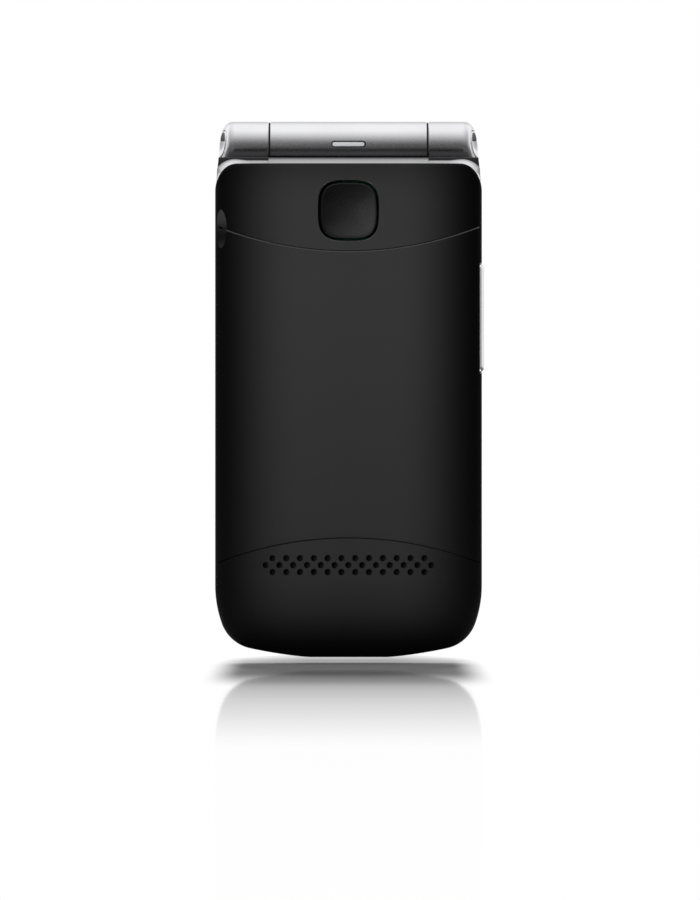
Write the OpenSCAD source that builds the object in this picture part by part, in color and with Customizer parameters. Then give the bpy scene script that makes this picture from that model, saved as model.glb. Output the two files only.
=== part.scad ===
// Clamshell phone, closed, standing on its lower end.
// X is the width, Y the depth with the back towards -Y, Z the height. The foot is at Z = 0. Sizes in mm.

/* [Body] */
// Width across the straight sides
body_w = 52; // [49:0.5:58]
// Height of the silver frame of the lower half
frame_h = 97.5; // [94:0.5:110]
// Length over which the sides lean in below the frame's top
shoulder_drop = 6.5; // [5:0.5:9]
// How far each side has leaned in at the frame's top
shoulder_lean = 0.65; // [0.3:0.05:1.2]
// Radius of the shallow arc along the foot
foot_r = 90; // [85:5:180]
// Depth of the arc that is cut off flat to stand on
foot_sink = 0.35; // [0.1:0.05:0.4]
// Radius of the foot's corners
foot_corner_r = 7.5; // [5.5:0.5:8]
// Radius of the easing between each side and its foot corner
ease_r = 22; // [16:1:24]
// Height where the easing meets the straight side
ease_z = 14; // [12.5:0.5:15]

/* [Shells] */
// Wall of the rear housing
shell_t = 1.4; // [1.3:0.1:1.6]
// Wall of the silver frames
frame_wall = 1.4; // [1.2:0.1:1.6]
// Depth of the lower half's silver frame
frame_t = 5.25; // [4.8:0.1:5.5]
// Depth of the lid's silver frame
lid_frame_t = 3.6; // [3.2:0.1:4]
// Half width of the flat middle of the back and of the lid
flat_half = 12; // [10:0.5:13]
// Exponent of the rolled edges, where 2 is an ellipse
roll_n = 2.4; // [2:0.1:3]
// Depth of the rolled edges of the back
roll_d = 5.6; // [5.2:0.1:5.8]
// Height of the roll at the foot of the back
foot_roll_h = 13; // [10:0.5:14]
// Rounding of the back's upper edge
edge_r = 0.9; // [0.5:0.1:1.2]
// Height of the frame's lip above the rear housing
lip_h = 1.4; // [1.2:0.1:1.8]
// Width of the rear housing's upper corners
rear_corner_w = 4.2; // [3.5:0.1:5]
// Height of the rear housing's upper corners
rear_corner_h = 5.5; // [4.5:0.1:6.5]
// How much smaller the lid's outline is than the lower half's
lid_inset = 0.15; // [0.1:0.05:0.4]

/* [Depth of the lower half] */
// Battery cover
cover_t = 1; // [0.9:0.05:1.1]
// Battery
battery_t = 4; // [3.6:0.1:4.8]
// Floor under the battery
floor_t = 0.8; // [0.6:0.1:1]
// Room between the floor and the main board
part_room = 1.3; // [1.2:0.1:1.8]
// Main board
board_t = 0.8; // [0.6:0.1:1]
// Dome sheet
dome_t = 0.4; // [0.3:0.05:0.5]
// Rubber membrane under the keys
membrane_t = 0.4; // [0.3:0.05:0.5]
// Travel of a key
key_travel = 0.4; // [0.3:0.05:0.5]
// Plunger under a key
plunger_t = 0.3; // [0.2:0.05:0.4]
// Flange that holds a key behind the fascia
flange_t = 0.5; // [0.4:0.05:0.6]
// Front panels of both halves
fascia_t = 1; // [0.9:0.05:1.2]

/* [Depth of the lid] */
// Gap between the closed halves
close_gap = 0.3; // [0.3:0.05:0.6]
// Main display
display_t = 2.2; // [1.8:0.1:2.6]
// Display board
lid_board_t = 0.6; // [0.5:0.1:0.8]
// Outer display
outer_display_t = 1.5; // [1.2:0.1:1.8]
// Shell of the lid and its outer lens
lid_cover_t = 1; // [0.9:0.05:1.2]

/* [Clearances] */
// Between pieces that stay still
fit = 0.1; // [0.08:0.01:0.14]
// Beside keys that move
run_gap = 0.2; // [0.15:0.05:0.3]
// Around a turning shaft
turn_gap = 0.05; // [0.04:0.01:0.08]
// Around a piece that is glued or pressed in
press_gap = 0.03; // [0.02:0.01:0.05]
// Between a key's flange and the fascia
key_slack = 0.05; // [0.04:0.01:0.1]

/* [Battery cover] */
// Top of the lower seam, on the centre line
cover_low = 23.3; // [22.5:0.1:26]
// Distance from the frame's top down to the upper seam, on the centre line
cover_drop = 18.4; // [18:0.1:20]
// Radius of both seams
seam_r = 69; // [62:1:80]
// Width of a seam
seam_gap = 0.16; // [0.1:0.02:0.24]
// Depth of the cover's sides
skirt_d = 3.5; // [3.2:0.1:3.6]
// Width of the ledge under the cover's ends
ledge_under = 1.6; // [1.4:0.1:1.8]
// Radius of the fingernail notch
notch_r = 18; // [14:1:24]
// Depth of the fingernail notch
notch_d = 0.4; // [0.25:0.05:0.5]

/* [Sound holes] */
// Diameter of a hole
hole_d = 1.2; // [0.8:0.1:1.3]
// Distance between holes along a row
hole_pitch = 2.68; // [2.4:0.04:2.76]
// Distance between rows
row_pitch = 1.35; // [1.2:0.05:1.4]
// Holes in the middle row
holes_mid = 13; // [9:2:13]
// Height of the middle row
hole_z = 18; // [17.5:0.1:18.4]

/* [Emergency button] */
// Width and height of the button
sos_w = 10.95; // [9.5:0.05:11.2]
// Corner radius
sos_r = 3.8; // [2.5:0.1:4.4]
// Groove around it
sos_gap = 0.4; // [0.3:0.05:0.5]
// Distance from the frame's top down to its middle
sos_drop = 10.6; // [10.5:0.05:10.7]
// Travel
sos_travel = 0.5; // [0.3:0.05:0.6]
// Depth of the dish in its face
sos_dish = 0.7; // [0.4:0.05:0.9]

/* [Volume rocker] */
// Length
rocker_l = 21.3; // [18:0.1:22]
// Width across the edge
rocker_w = 4.4; // [3.8:0.1:4.5]
// How far it stands out of the side
rocker_proud = 0.45; // [0.3:0.05:0.7]
// Distance from the frame's top down to its middle
rocker_drop = 31.4; // [31.4:0.1:34]
// Clearance around it
rocker_gap = 0.15; // [0.12:0.01:0.2]

/* [Hinge] */
// Radius of the barrel and the ears
barrel_r = 4.3; // [4.1:0.05:4.6]
// Half length of the middle barrel
barrel_half = 15.35; // [14.5:0.05:16]
// Gap between the barrel and an ear
barrel_gap = 0.25; // [0.2:0.05:0.4]
// Height of the axis above the frame's top
hinge_rise = 2.85; // [2.6:0.05:3.1]
// Gap around the barrel in the lower half
hinge_gap = 0.35; // [0.3:0.05:0.5]
// Distance from the body's side to an ear's end, on the axis
ear_short = 1.35; // [1.1:0.05:1.8]
// Angle that an ear's end is turned to the back
end_toe = 13; // [8:1:16]
// Angle that an ear's end is turned upwards
end_lean = 6; // [2:1:8]
// Rounding of an ear's end
end_round = 1.6; // [1.2:0.1:1.8]
// Radius of an end cap
cap_r = 2.8; // [2.5:0.1:2.9]
// Height of an end cap's dome
cap_dome = 0.45; // [0.3:0.05:0.6]
// Radius of the bores in the barrel
bore_r = 3; // [2.85:0.05:3.1]
// Radius of the hinge shaft
shaft_r = 1.5; // [1.3:0.05:1.8]
// Radius of the hollow pin
pin_r = 2; // [1.8:0.05:2.2]
// Distance from an ear's end to the shaft or pin inside it, on the axis
ear_room = 2.85; // [2.45:0.05:3.5]
// Width of the light bar
light_w = 6.5; // [5:0.1:6.8]
// Height of the light bar
light_h = 1.1; // [0.8:0.05:1.4]

/* [Keypad] */
// Height of the lowest row
key_low = 13; // [12.6:0.1:14]
// Distance between rows
key_pitch_z = 11.2; // [10.8:0.1:11.6]
// Height of a key
key_h = 9.7; // [8.5:0.1:9.8]
// Gap between neighbouring keys
key_gap = 1.5; // [1.4:0.1:2]
// Corner radius of a key
key_r = 2.2; // [1.5:0.1:3]
// How far a key stands out of the fascia
key_proud = 0.1; // [0.05:0.05:0.15]
// Length of the navigation rocker
nav_h = 20; // [18:0.5:20.5]
// How far the navigation rocker lies below the fascia's face
nav_sink = 0.15; // [0.1:0.05:0.2]

/* [Screws] */
// Radius of a screw
screw_r = 0.7; // [0.6:0.05:0.8]
// Radius of a screw's head
head_r = 1.35; // [1.2:0.05:1.4]
// Height of a screw's head
head_t = 0.5; // [0.4:0.05:0.6]

/* [Charging socket] */
// Width
socket_w = 7.6; // [7:0.1:8.6]
// Thickness
socket_t = 2.8; // [2.6:0.1:3]
// Depth
socket_d = 5.4; // [5:0.1:6]

/* [Sound and signal parts] */
// Width of the loudspeaker
speaker_w = 30; // [26:0.5:31]
// Height of the loudspeaker
speaker_h = 9.4; // [8.5:0.1:9.8]
// Depth of the loudspeaker
speaker_t = 3.65; // [3.2:0.05:3.8]
// Distance from the middle row of sound holes down to the loudspeaker's middle
speaker_drop = 2.8; // [2.4:0.1:3]
// Cloth beyond the sound holes, on the left and right
cloth_side = 0.82; // [0.5:0.02:1]
// Cloth beyond the sound holes, above and below
cloth_edge = 0.55; // [0.4:0.05:0.7]
// Width of the earpiece
earpiece_w = 13; // [11:0.5:14]
// Height of the earpiece
earpiece_h = 7; // [6:0.5:7.5]
// Depth of the earpiece
earpiece_t = 2.1; // [1.7:0.1:2.2]
// Height of the earpiece's middle
earpiece_z = 11.5; // [11:0.1:12]
// Width of the slot in front of the earpiece
slot_w = 9; // [7:0.5:10]
// Height of the slot in front of the earpiece
slot_h = 1.5; // [1.2:0.1:1.8]
// Width and height of the microphone
mic_w = 4; // [3:0.1:4.5]
// Distance of the microphone's middle from the centre line
mic_x = 9; // [8:0.5:10]
// Height of the microphone's middle
mic_z = 5; // [4.6:0.1:5.4]
// Radius of the vibration motor
motor_r = 4; // [3.5:0.1:4.2]
// Depth of the vibration motor
motor_t = 2.7; // [2.4:0.1:3]
// Distance of the vibration motor's middle from the centre line
motor_x = 14; // [13.5:0.1:14.5]
// Width of the antenna
antenna_w = 13; // [11:0.5:13.5]
// Height of the antenna
antenna_h = 5; // [4.5:0.1:5.2]
// Depth of the antenna
antenna_t = 3.6; // [3:0.1:3.8]
// Distance from the body's side to the antenna
antenna_side = 7; // [6.8:0.1:7.5]
// Height of the antenna's lower edge
antenna_z = 4.6; // [4.4:0.1:4.8]
// Width of the magnet
magnet_w = 6; // [5:0.5:6.5]
// Height of the magnet
magnet_h = 4; // [3:0.5:4.5]
// Distance of the magnet's middle from the centre line
magnet_x = 12; // [11.5:0.1:12.4]

/* [Board parts] */
// Width of the shield can
can_w = 30; // [26:0.5:32]
// Height of the shield can
can_h = 22; // [18:0.5:23]
// Depth of the shield can
can_t = 1.1; // [0.9:0.05:1.15]
// Wall of the shield can
can_wall = 0.3; // [0.2:0.05:0.4]
// Width of the card holder
sim_w = 15.4; // [14:0.1:15.8]
// Height of the card holder
sim_h = 14; // [13:0.1:14.6]
// Depth of the card holder
sim_t = 1.2; // [1:0.05:1.25]
// Wall of the card holder
sim_wall = 1; // [0.7:0.1:1.2]
// Width of the battery contacts' block
contact_w = 10; // [9:0.5:12]
// Height of the battery contacts' block
contact_h = 2.2; // [1.8:0.1:2.4]
// Width of the switch under the emergency button
switch_w = 5; // [4:0.5:6]

/* [Displays] */
// Distance of the main display's sides from the body's sides
display_side = 8; // [7.5:0.1:9]
// Height of the main display's lower edge
display_low = 22; // [21:0.5:26]
// Distance from the lid's top down to the main display
display_drop = 13; // [12.5:0.1:15]
// Width of the display lens beyond the display, on each side
lens_rim = 2; // [1.5:0.1:2.2]
// Width of the outer lens
outer_w = 30; // [24:0.5:31]
// Height of the outer lens
outer_h = 32; // [26:0.5:34]
// Distance from the lid's top down to the outer lens's middle
outer_drop = 31; // [28:0.5:34]
// Corner radius of the outer lens
outer_r = 4; // [3:0.1:6]

/* [Hidden] */
$fn = 96;
roll_steps = 9;
half_w = body_w / 2;
shoulder_z = frame_h - shoulder_drop;
roll_w = half_w - flat_half;
battery_w = body_w - 16;

// Fall of a rolled edge at x, for a surface set in by d, as a fraction of its depth
function roll_fall(x, d) = x <= flat_half ? 0
    : 1 - pow(1 - pow((x - flat_half) / (roll_w - d), roll_n), 1 / roll_n);

// Depth of the lower half, added up from its layers
crown_room = (roll_d - cover_t) * roll_fall(battery_w / 2, cover_t) + 4 * fit;
key_room = key_travel + fit + plunger_t + flange_t + key_slack;
inner_t = floor_t + part_room + board_t + fit + dome_t + membrane_t + key_room;
base_t = cover_t + crown_room + battery_t + fit + inner_t + fascia_t;

// Depth of the lid, added up from its layers
lid_inner_t = display_t + lid_board_t + outer_display_t + 7 * fit;
lid_t = fascia_t + lid_inner_t + lid_cover_t;
lid_roll_d = lid_t - lid_frame_t - 0.4;
total_t = base_t + close_gap + lid_t;

// Depth stations of the lower half
y_back = -total_t / 2;
y_front = y_back + base_t;
y_part = y_front - frame_t;
y_skirt = y_back + skirt_d;
y_batt_back = y_back + cover_t + crown_room;
y_batt_front = y_batt_back + battery_t;
y_floor_back = y_batt_front + fit;
y_floor_front = y_floor_back + floor_t;
y_board_back = y_floor_front + part_room;
y_board_front = y_board_back + board_t;
y_dome_back = y_board_front + fit / 2;
y_dome_front = y_dome_back + dome_t;
y_mem_back = y_dome_front + fit / 2;
y_mem_front = y_mem_back + membrane_t;
y_plunger = y_mem_front + key_travel + fit;
y_flange_back = y_plunger + plunger_t;
y_flange_front = y_flange_back + flange_t;
y_fascia_in = y_front - fascia_t;

// Depth stations of the lid
y_lid_in = y_front + close_gap;
y_lid_out = total_t / 2;
y_lid_part = y_lid_in + lid_frame_t;
y_lid_panel = y_lid_in + fascia_t;
y_display = y_lid_panel + fit;
y_lid_board = y_display + display_t + fit;
y_outer = y_lid_board + lid_board_t + fit;

// Hinge
y_hinge = y_front + close_gap / 2;
z_hinge = frame_h + hinge_rise;
ear_in = barrel_half + barrel_gap;
ear_end = half_w - ear_short;
ear_hold = ear_end - ear_in - ear_room;
cap_seat = 0.8;
plug_half = light_w / 2 + 0.4;

// Heights
rear_top = frame_h - lip_h;
trough_t = 1.2;
cavity_top = z_hinge - barrel_r - hinge_gap - trough_t;
lid_top = z_hinge - barrel_r - hinge_gap - 0.1;
cover_high = frame_h - cover_drop;
sos_z = frame_h - sos_drop;
rocker_z = frame_h - rocker_drop;
rocker_y = y_part - 0.65;

// Battery bay
bay_low = cover_low + ledge_under + 0.5;
bay_high = cover_high - ledge_under - 3;
battery_h = bay_high - bay_low;
battery_z = (bay_low + bay_high) / 2;

// Screws of the lower half
screw_x = half_w - 4.4;
screw_zs = [cover_low + 6.7, cover_high + 0.2];
pad_t = 0.7;

// Keypad
ledge_w = 1;
ledge_t = 0.6;
key_pitch_x = (body_w - 2 * (frame_wall + ledge_w + 0.6)) / 3;
key_w = key_pitch_x - key_gap;
call_z = key_low + 3 * key_pitch_z + 12.2;
soft_z = call_z + key_pitch_z;
nav_z = (call_z + soft_z) / 2;
nav_w = key_w - 1;
nav_flange_t = 0.35;

// Name, middle and colour of every key that is pressed straight in
KEYS = [
    ["key_1", key_pitch_x, key_low + 3 * key_pitch_z, "dimgray"],
    ["key_2", 0, key_low + 3 * key_pitch_z, "dimgray"],
    ["key_3", -key_pitch_x, key_low + 3 * key_pitch_z, "dimgray"],
    ["key_4", key_pitch_x, key_low + 2 * key_pitch_z, "dimgray"],
    ["key_5", 0, key_low + 2 * key_pitch_z, "dimgray"],
    ["key_6", -key_pitch_x, key_low + 2 * key_pitch_z, "dimgray"],
    ["key_7", key_pitch_x, key_low + key_pitch_z, "dimgray"],
    ["key_8", 0, key_low + key_pitch_z, "dimgray"],
    ["key_9", -key_pitch_x, key_low + key_pitch_z, "dimgray"],
    ["key_star", key_pitch_x, key_low, "dimgray"],
    ["key_0", 0, key_low, "dimgray"],
    ["key_hash", -key_pitch_x, key_low, "dimgray"],
    ["call_key", key_pitch_x, call_z, "green"],
    ["end_key", -key_pitch_x, call_z, "red"],
    ["soft_key_left", key_pitch_x, soft_z, "gray"],
    ["soft_key_right", -key_pitch_x, soft_z, "gray"]
];

// Lid
display_w = body_w - 2 * display_side;
display_high = lid_top - display_drop;
display_z = (display_low + display_high) / 2;
lens_w = display_w + 2 * lens_rim;
lens_h = display_high - display_low + 2 * lens_rim;
outer_z = lid_top - outer_drop;
lid_screws = [[half_w - 7.5, 5.2], [half_w - 5.6, lid_top - 7]];
bumper_r = 1.6;

// Draws a shape given in X and Z and fills it from y0 to y1
module along_y(y0, y1) {
    translate([0, y1, 0]) rotate([90, 0, 0]) linear_extrude(y1 - y0) children();
}

// Draws a shape given in X and Y and fills it from z0 to z1
module along_z(z0, z1) {
    translate([0, 0, z0]) linear_extrude(z1 - z0) children();
}

// Draws a shape given in Y and Z and fills it from x0 to x1
module along_x(x0, x1) {
    translate([x0, 0, 0]) rotate([90, 0, 90]) linear_extrude(x1 - x0) children();
}

// Box with its middle at x and z, from y0 to y1
module block(x, z, w, h, y0, y1) {
    translate([x - w / 2, y0, z - h / 2]) cube([w, y1 - y0, h]);
}

// Round bar through x and z, from y0 to y1
module bar(x, z, r, y0, y1) {
    translate([x, y1, z]) rotate([90, 0, 0]) cylinder(h = y1 - y0, r = r);
}

// Round bar on the hinge axis, from x0 to x1
module axle(x0, x1, r) {
    translate([x0, y_hinge, z_hinge]) rotate([0, 90, 0]) cylinder(h = x1 - x0, r = r);
}

// Rectangle with round corners
module rounded_rect(w, h, r) {
    square([w - 2 * r, h], center = true);
    square([w, h - 2 * r], center = true);
    for (sx = [-1, 1], sz = [-1, 1])
        translate([sx * (w / 2 - r), sz * (h / 2 - r)]) circle(r);
}

// Plate with round corners, middle at x and z, from y0 to y1
module plate(x, z, w, h, r, y0, y1) {
    along_y(y0, y1) translate([x, z]) rounded_rect(w, h, r);
}

// Points of an arc, without its first point when skip is 1
function arc(c, r, a0, a1, n, skip = 0) =
    [for (i = [skip:n]) c + r * [cos(a0 + (a1 - a0) * i / n), sin(a0 + (a1 - a0) * i / n)]];

// The same points on the other side, in reverse order
function mirrored(p) = [for (i = [len(p) - 1:-1:0]) [-p[i][0], p[i][1]]];

// Centre of the foot corner, which touches the foot arc and the side's easing from inside
foot_c = [0, foot_r - foot_sink];
ease_c = [half_w - ease_r, ease_z];
gap_c = norm(foot_c - ease_c);
reach = (pow(ease_r - foot_corner_r, 2) - pow(foot_r - foot_corner_r, 2) + gap_c * gap_c) / (2 * gap_c);
rise_c = sqrt(pow(ease_r - foot_corner_r, 2) - reach * reach);
dir_c = (foot_c - ease_c) / gap_c;
corner_c = ease_c + reach * dir_c + rise_c * [dir_c[1], -dir_c[0]];
foot_turn = atan2(corner_c[0], foot_c[1] - corner_c[1]);
ease_turn = atan2(corner_c[1] - ease_c[1], corner_c[0] - ease_c[0]);

// Right lower part of the outline, set in by d, from the flat of the foot to the straight side
function lower_right(d) = concat(
    arc(foot_c, foot_r - d, 270 + acos((foot_r - foot_sink - d) / (foot_r - d)), 270 + foot_turn, 6),
    arc(corner_c, foot_corner_r - d, 270 + foot_turn, 360 + ease_turn, 7, 1),
    arc(ease_c, ease_r - d, ease_turn, 0, 5, 1));

// Half width of the leaning shoulder at height z
function shoulder_half(z) = half_w - shoulder_lean * max(z - shoulder_z, 0) / shoulder_drop;

// Outline of a frame, set in by d and cut off at top
function frame_right(d, top) = concat(lower_right(d),
    top > shoulder_z ? [[half_w - d, shoulder_z]] : [], [[shoulder_half(top) - d, top]]);
function frame_points(d, top) = concat(frame_right(d, top), mirrored(frame_right(d, top)));

// Outline of the rear housing, set in by d, with elliptical upper corners
function rear_right(d) = concat(lower_right(d),
    [for (i = [0:7]) [half_w - rear_corner_w + (rear_corner_w - d) * cos(90 * i / 7),
        rear_top - rear_corner_h + (rear_corner_h - d) * sin(90 * i / 7)]]);
function rear_points(d) = concat(rear_right(d), mirrored(rear_right(d)));

// Rolled edge: w wide and d deep, from flat to upright, on a superellipse
function roll(w, d) = [for (i = [0:roll_steps])
    [w * pow(sin(90 * i / roll_steps), 2 / roll_n), d * (1 - pow(cos(90 * i / roll_steps), 2 / roll_n))]];

// Cross-section in X and Y of a crowned shell, set in by d: face is its outer plane, s is 1 when it looks to -Y
function section_right(d, face, depth, s) = concat(
    [for (p = roll(roll_w - d, depth - d)) [flat_half + p[0], face + s * (d + p[1])]],
    [[half_w + 2, face + s * depth], [half_w + 2, face + s * (depth + 4)]]);
function section_points(d, face, depth, s) =
    concat(section_right(d, face, depth, s), mirrored(section_right(d, face, depth, s)));

// Side view in Y and Z of the rear housing, set in by d, with its rolled foot and its rounded upper edge
function rear_side(d) = let (r = max(edge_r - d, 0.2)) concat(
    [for (p = roll(foot_roll_h - d, roll_d - d)) [y_back + d + p[1], foot_roll_h - p[0]]],
    [[y_back + roll_d, -2], [y_part + 3, -2], [y_part + 3, rear_top + 2], [y_back + d + r, rear_top + 2]],
    [for (i = [0:4]) [y_back + d + r * (1 - sin(90 * i / 4)), rear_top - d - r * (1 - cos(90 * i / 4))]]);

// Body of the rear housing, set in by d
module rear_form(d) {
    intersection() {
        along_y(y_back - 1, y_part + (d > 0 ? 1 : 0)) polygon(rear_points(d));
        along_z(-1, frame_h + 3) polygon(section_points(d, y_back, roll_d, 1));
        along_x(-half_w - 3, half_w + 3) polygon(rear_side(d));
    }
}

// Side view in Y and Z of the lid, set in by d
function lid_side(d) = concat(
    [for (p = roll(9 - d, lid_roll_d - d)) [y_lid_out - d - p[1], 9 - p[0]]],
    [[y_lid_out - lid_roll_d, -2], [y_lid_in - 2, -2], [y_lid_in - 2, lid_top + 2],
        [y_lid_out - lid_roll_d, lid_top + 2]],
    [for (p = mirrored(roll(4 - d, lid_roll_d - d))) [y_lid_out - d - p[1], lid_top - 4 - p[0]]]);

// Body of the lid's shell, set in by d, from y0 outwards
module lid_form(d, y0) {
    intersection() {
        along_y(y0, y_lid_out + 1) polygon(frame_points(lid_inset + d, lid_top - d));
        along_z(-1, frame_h + 3) polygon(section_points(d, y_lid_out, lid_roll_d, -1));
        along_x(-half_w - 3, half_w + 3) polygon(lid_side(d));
    }
}

// Shape in X and Z between the two seams, with each seam moved into it by g
module cover_shape(g) {
    difference() {
        translate([-half_w - 2, cover_low - 9]) square([body_w + 4, cover_high - cover_low + 18]);
        translate([0, cover_high + seam_r]) circle(seam_r + g, $fn = 256);
        translate([0, cover_low - seam_r]) circle(seam_r + g, $fn = 256);
    }
}

// Wall in X and Z along one seam, whose circle has its middle at z
module seam_wall(z) {
    translate([0, z]) difference() {
        circle(seam_r + ledge_under, $fn = 256);
        circle(seam_r - 0.8, $fn = 256);
    }
}

// Ball that cuts the fingernail notch, where the upper seam meets the left edge
module notch() {
    x = flat_half + 0.92 * roll_w;
    y = y_back + roll_d * roll_fall(x, 0);
    z = cover_high + seam_r - sqrt(seam_r * seam_r - x * x);
    out = notch_r - notch_d;
    translate([-x - out * sin(44), y - out * cos(44), z]) sphere(notch_r);
}

// Opening for the volume rocker and, behind it, room for its flange
module rocker_opening() {
    w = rocker_w + 2 * rocker_gap;
    translate([half_w - 2, rocker_y - w / 2, rocker_z - rocker_l / 2 - rocker_gap])
        cube([4, w, rocker_l + 2 * rocker_gap]);
    translate([half_w - 4.2, rocker_y - w / 2 - 0.2, rocker_z - rocker_l / 2 - 1.25])
        cube([4.2 - frame_wall, w + 0.4, rocker_l + 2.5]);
}

// Opening for the charging socket
module socket_opening() {
    block(0, 0, socket_w + 2 * fit, 8, y_board_back - socket_t - fit, y_board_back + fit);
}

// Places children at the slanted end of the right ear, with local X pointing out of it
module at_ear_end() {
    translate([ear_end, y_hinge, z_hinge]) rotate([0, -end_lean, -end_toe]) children();
}

// Outer hinge knuckle on the right, cut by a slanted end with a rounded rim
module ear() {
    rim = barrel_r + 0.45;
    intersection() {
        axle(ear_in, half_w + 3, barrel_r);
        at_ear_end() rotate([0, 90, 0]) translate([0, 0, -30]) rotate_extrude() {
            square([rim - end_round, 30]);
            polygon([[0, 0], [rim + 9, 0], [rim + 9, 23], [rim, 30 - end_round], [0, 30 - end_round]]);
            translate([rim - end_round, 30 - end_round]) circle(end_round);
        }
    }
}

// Round inlay in the right ear's end
module end_cap() {
    ball = (cap_r * cap_r + cap_dome * cap_dome) / (2 * cap_dome);
    at_ear_end() rotate([0, 90, 0]) {
        translate([0, 0, -cap_seat]) cylinder(h = cap_seat, r = cap_r);
        intersection() {
            translate([0, 0, -0.1]) cylinder(h = cap_dome + 1, r = cap_r);
            translate([0, 0, cap_dome - ball]) sphere(ball);
        }
    }
}

// Recess for an end cap in the right ear
module cap_recess() {
    at_ear_end() rotate([0, 90, 0]) translate([0, 0, -cap_seat - press_gap])
        cylinder(h = 4, r = cap_r + press_gap);
}

module rear_housing() color("#1c1c1e") {
    rib_x = battery_w / 2 + 2 * fit;
    difference() {
        union() {
            difference() {
                rear_form(0);
                rear_form(shell_t);
                along_y(y_back - 2, y_skirt + fit) cover_shape(-seam_gap / 2);
            }
            intersection() {
                rear_form(cover_t + fit);
                along_y(y_back, y_floor_front) union() {
                    seam_wall(cover_high + seam_r);
                    seam_wall(cover_low - seam_r);
                }
            }
            block(0, (cover_low + cover_high) / 2, body_w - 1.4, cover_high - cover_low + 1,
                y_floor_back, y_floor_front);
            for (s = [-1, 1]) {
                block(s * (rib_x + 0.5), battery_z, 1, battery_h + 4, y_batt_back + 1, y_floor_front);
                for (z = screw_zs)
                    block(s * (half_w - 3.75), z, 6.1, 3.8, y_floor_back - pad_t, y_floor_front);
            }
        }
        plate(0, sos_z, sos_w + 2 * sos_gap, sos_w + 2 * sos_gap, sos_r + sos_gap, y_back - 1, y_back + 3);
        for (row = [-1:1], i = [0:holes_mid - 1 - abs(row)])
            bar((i - (holes_mid - 1 - abs(row)) / 2) * hole_pitch, hole_z + row * row_pitch, hole_d / 2,
                y_back - 1, y_back + 3);
        for (s = [-1, 1], z = screw_zs)
            bar(s * screw_x, z, screw_r + fit, y_floor_back - 2, y_part + 1);
        block(0, bay_high + contact_h / 2 + 2 * fit, contact_w + 4 * fit, contact_h + 4 * fit,
            y_back + 2, y_part + 1);
        block(0, battery_z + 12, sim_w + 6 * fit, sim_h + 10 * fit, y_floor_back - 1, y_part + 1);
        rocker_opening();
        socket_opening();
        notch();
    }
}

module base_frame() color("silver") {
    difference() {
        union() {
            along_y(y_part, y_front) difference() {
                polygon(frame_points(0, frame_h));
                polygon(frame_points(frame_wall, cavity_top));
            }
            along_y(y_fascia_in - ledge_t, y_fascia_in) difference() {
                polygon(frame_points(frame_wall - 0.3, cavity_top + 0.3));
                polygon(frame_points(frame_wall + ledge_w, cavity_top - ledge_w));
            }
            ear();
            mirror([1, 0, 0]) ear();
            for (s = [-1, 1], z = screw_zs)
                block(s * (half_w - 3.6), z, 5.2, 3.8, y_part, y_board_front);
        }
        axle(-ear_in, ear_in, barrel_r + hinge_gap);
        axle(ear_in - 1, ear_in + ear_hold, shaft_r + press_gap);
        axle(-ear_in - ear_hold - 1, -ear_in + 1, pin_r + press_gap);
        block(-ear_in - ear_hold - 0.55, cavity_top + 2.5, 0.9, 9, y_hinge - 1.95, y_hinge - 1.25);
        cap_recess();
        mirror([1, 0, 0]) cap_recess();
        for (s = [-1, 1], z = screw_zs)
            bar(s * screw_x, z, screw_r + press_gap, y_part - 1, y_board_front + 1);
        rocker_opening();
        socket_opening();
    }
}

module battery_cover() color("#1c1c1e") {
    difference() {
        intersection() {
            difference() {
                rear_form(0);
                rear_form(cover_t);
            }
            along_y(y_back - 2, y_skirt) cover_shape(seam_gap / 2);
        }
        notch();
    }
}

module sos_button() color("#262628") {
    face = y_back + 0.08;
    ball = (sos_w * sos_w / 4 + sos_dish * sos_dish) / (2 * sos_dish);
    difference() {
        union() {
            plate(0, sos_z, sos_w, sos_w, sos_r, face, y_back + shell_t + 0.5);
            plate(0, sos_z, sos_w + 1.8, sos_w + 1.8, sos_r + 0.9, y_back + shell_t + fit,
                y_back + shell_t + 0.7);
            bar(0, sos_z, 1.3, y_back + shell_t, y_board_back - 3.4);
        }
        translate([0, face + sos_dish - ball, sos_z]) sphere(ball, $fn = 256);
    }
}

module sos_switch() color("dimgray") {
    block(0, sos_z, switch_w, switch_w, y_board_back - 2.2, y_board_back);
    bar(0, sos_z, 1.2, y_board_back - 3.3 + sos_travel, y_board_back - 2);
}

module volume_rocker() color("silver") {
    bow = rocker_proud + 0.35;
    r = rocker_l * rocker_l / (8 * bow) + bow / 2;
    intersection() {
        translate([half_w - 2.9, rocker_y - rocker_w / 2, rocker_z - rocker_l / 2])
            cube([5, rocker_w, rocker_l]);
        bar(half_w + rocker_proud - r, rocker_z, r, rocker_y - rocker_w, rocker_y + rocker_w, $fn = 256);
    }
    translate([half_w - 3.1, rocker_y - rocker_w / 2, rocker_z - rocker_l / 2 - 0.7])
        cube([0.6, rocker_w, rocker_l + 1.4]);
}

module volume_switches() color("dimgray") {
    for (s = [-1, 1]) translate([half_w - 5.9, y_board_back - 1.1, rocker_z + s * 6.5 - 1.5]) {
        cube([1.8, 1.1, 3]);
        translate([1.7, 0.2, 0.7]) cube([0.5, 0.7, 1.6]);
    }
}

module keypad_fascia() color("#2a2a2e") {
    along_y(y_fascia_in, y_front) difference() {
        polygon(frame_points(frame_wall + fit, cavity_top - fit));
        for (k = KEYS)
            translate([k[1], k[2]]) rounded_rect(key_w + 2 * run_gap, key_h + 2 * run_gap, key_r + run_gap);
        translate([0, nav_z]) rounded_rect(nav_w + 2 * run_gap, nav_h + 4 * run_gap, nav_w / 2 - 0.5);
        translate([-mic_x, mic_z]) circle(0.5);
    }
}

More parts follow.
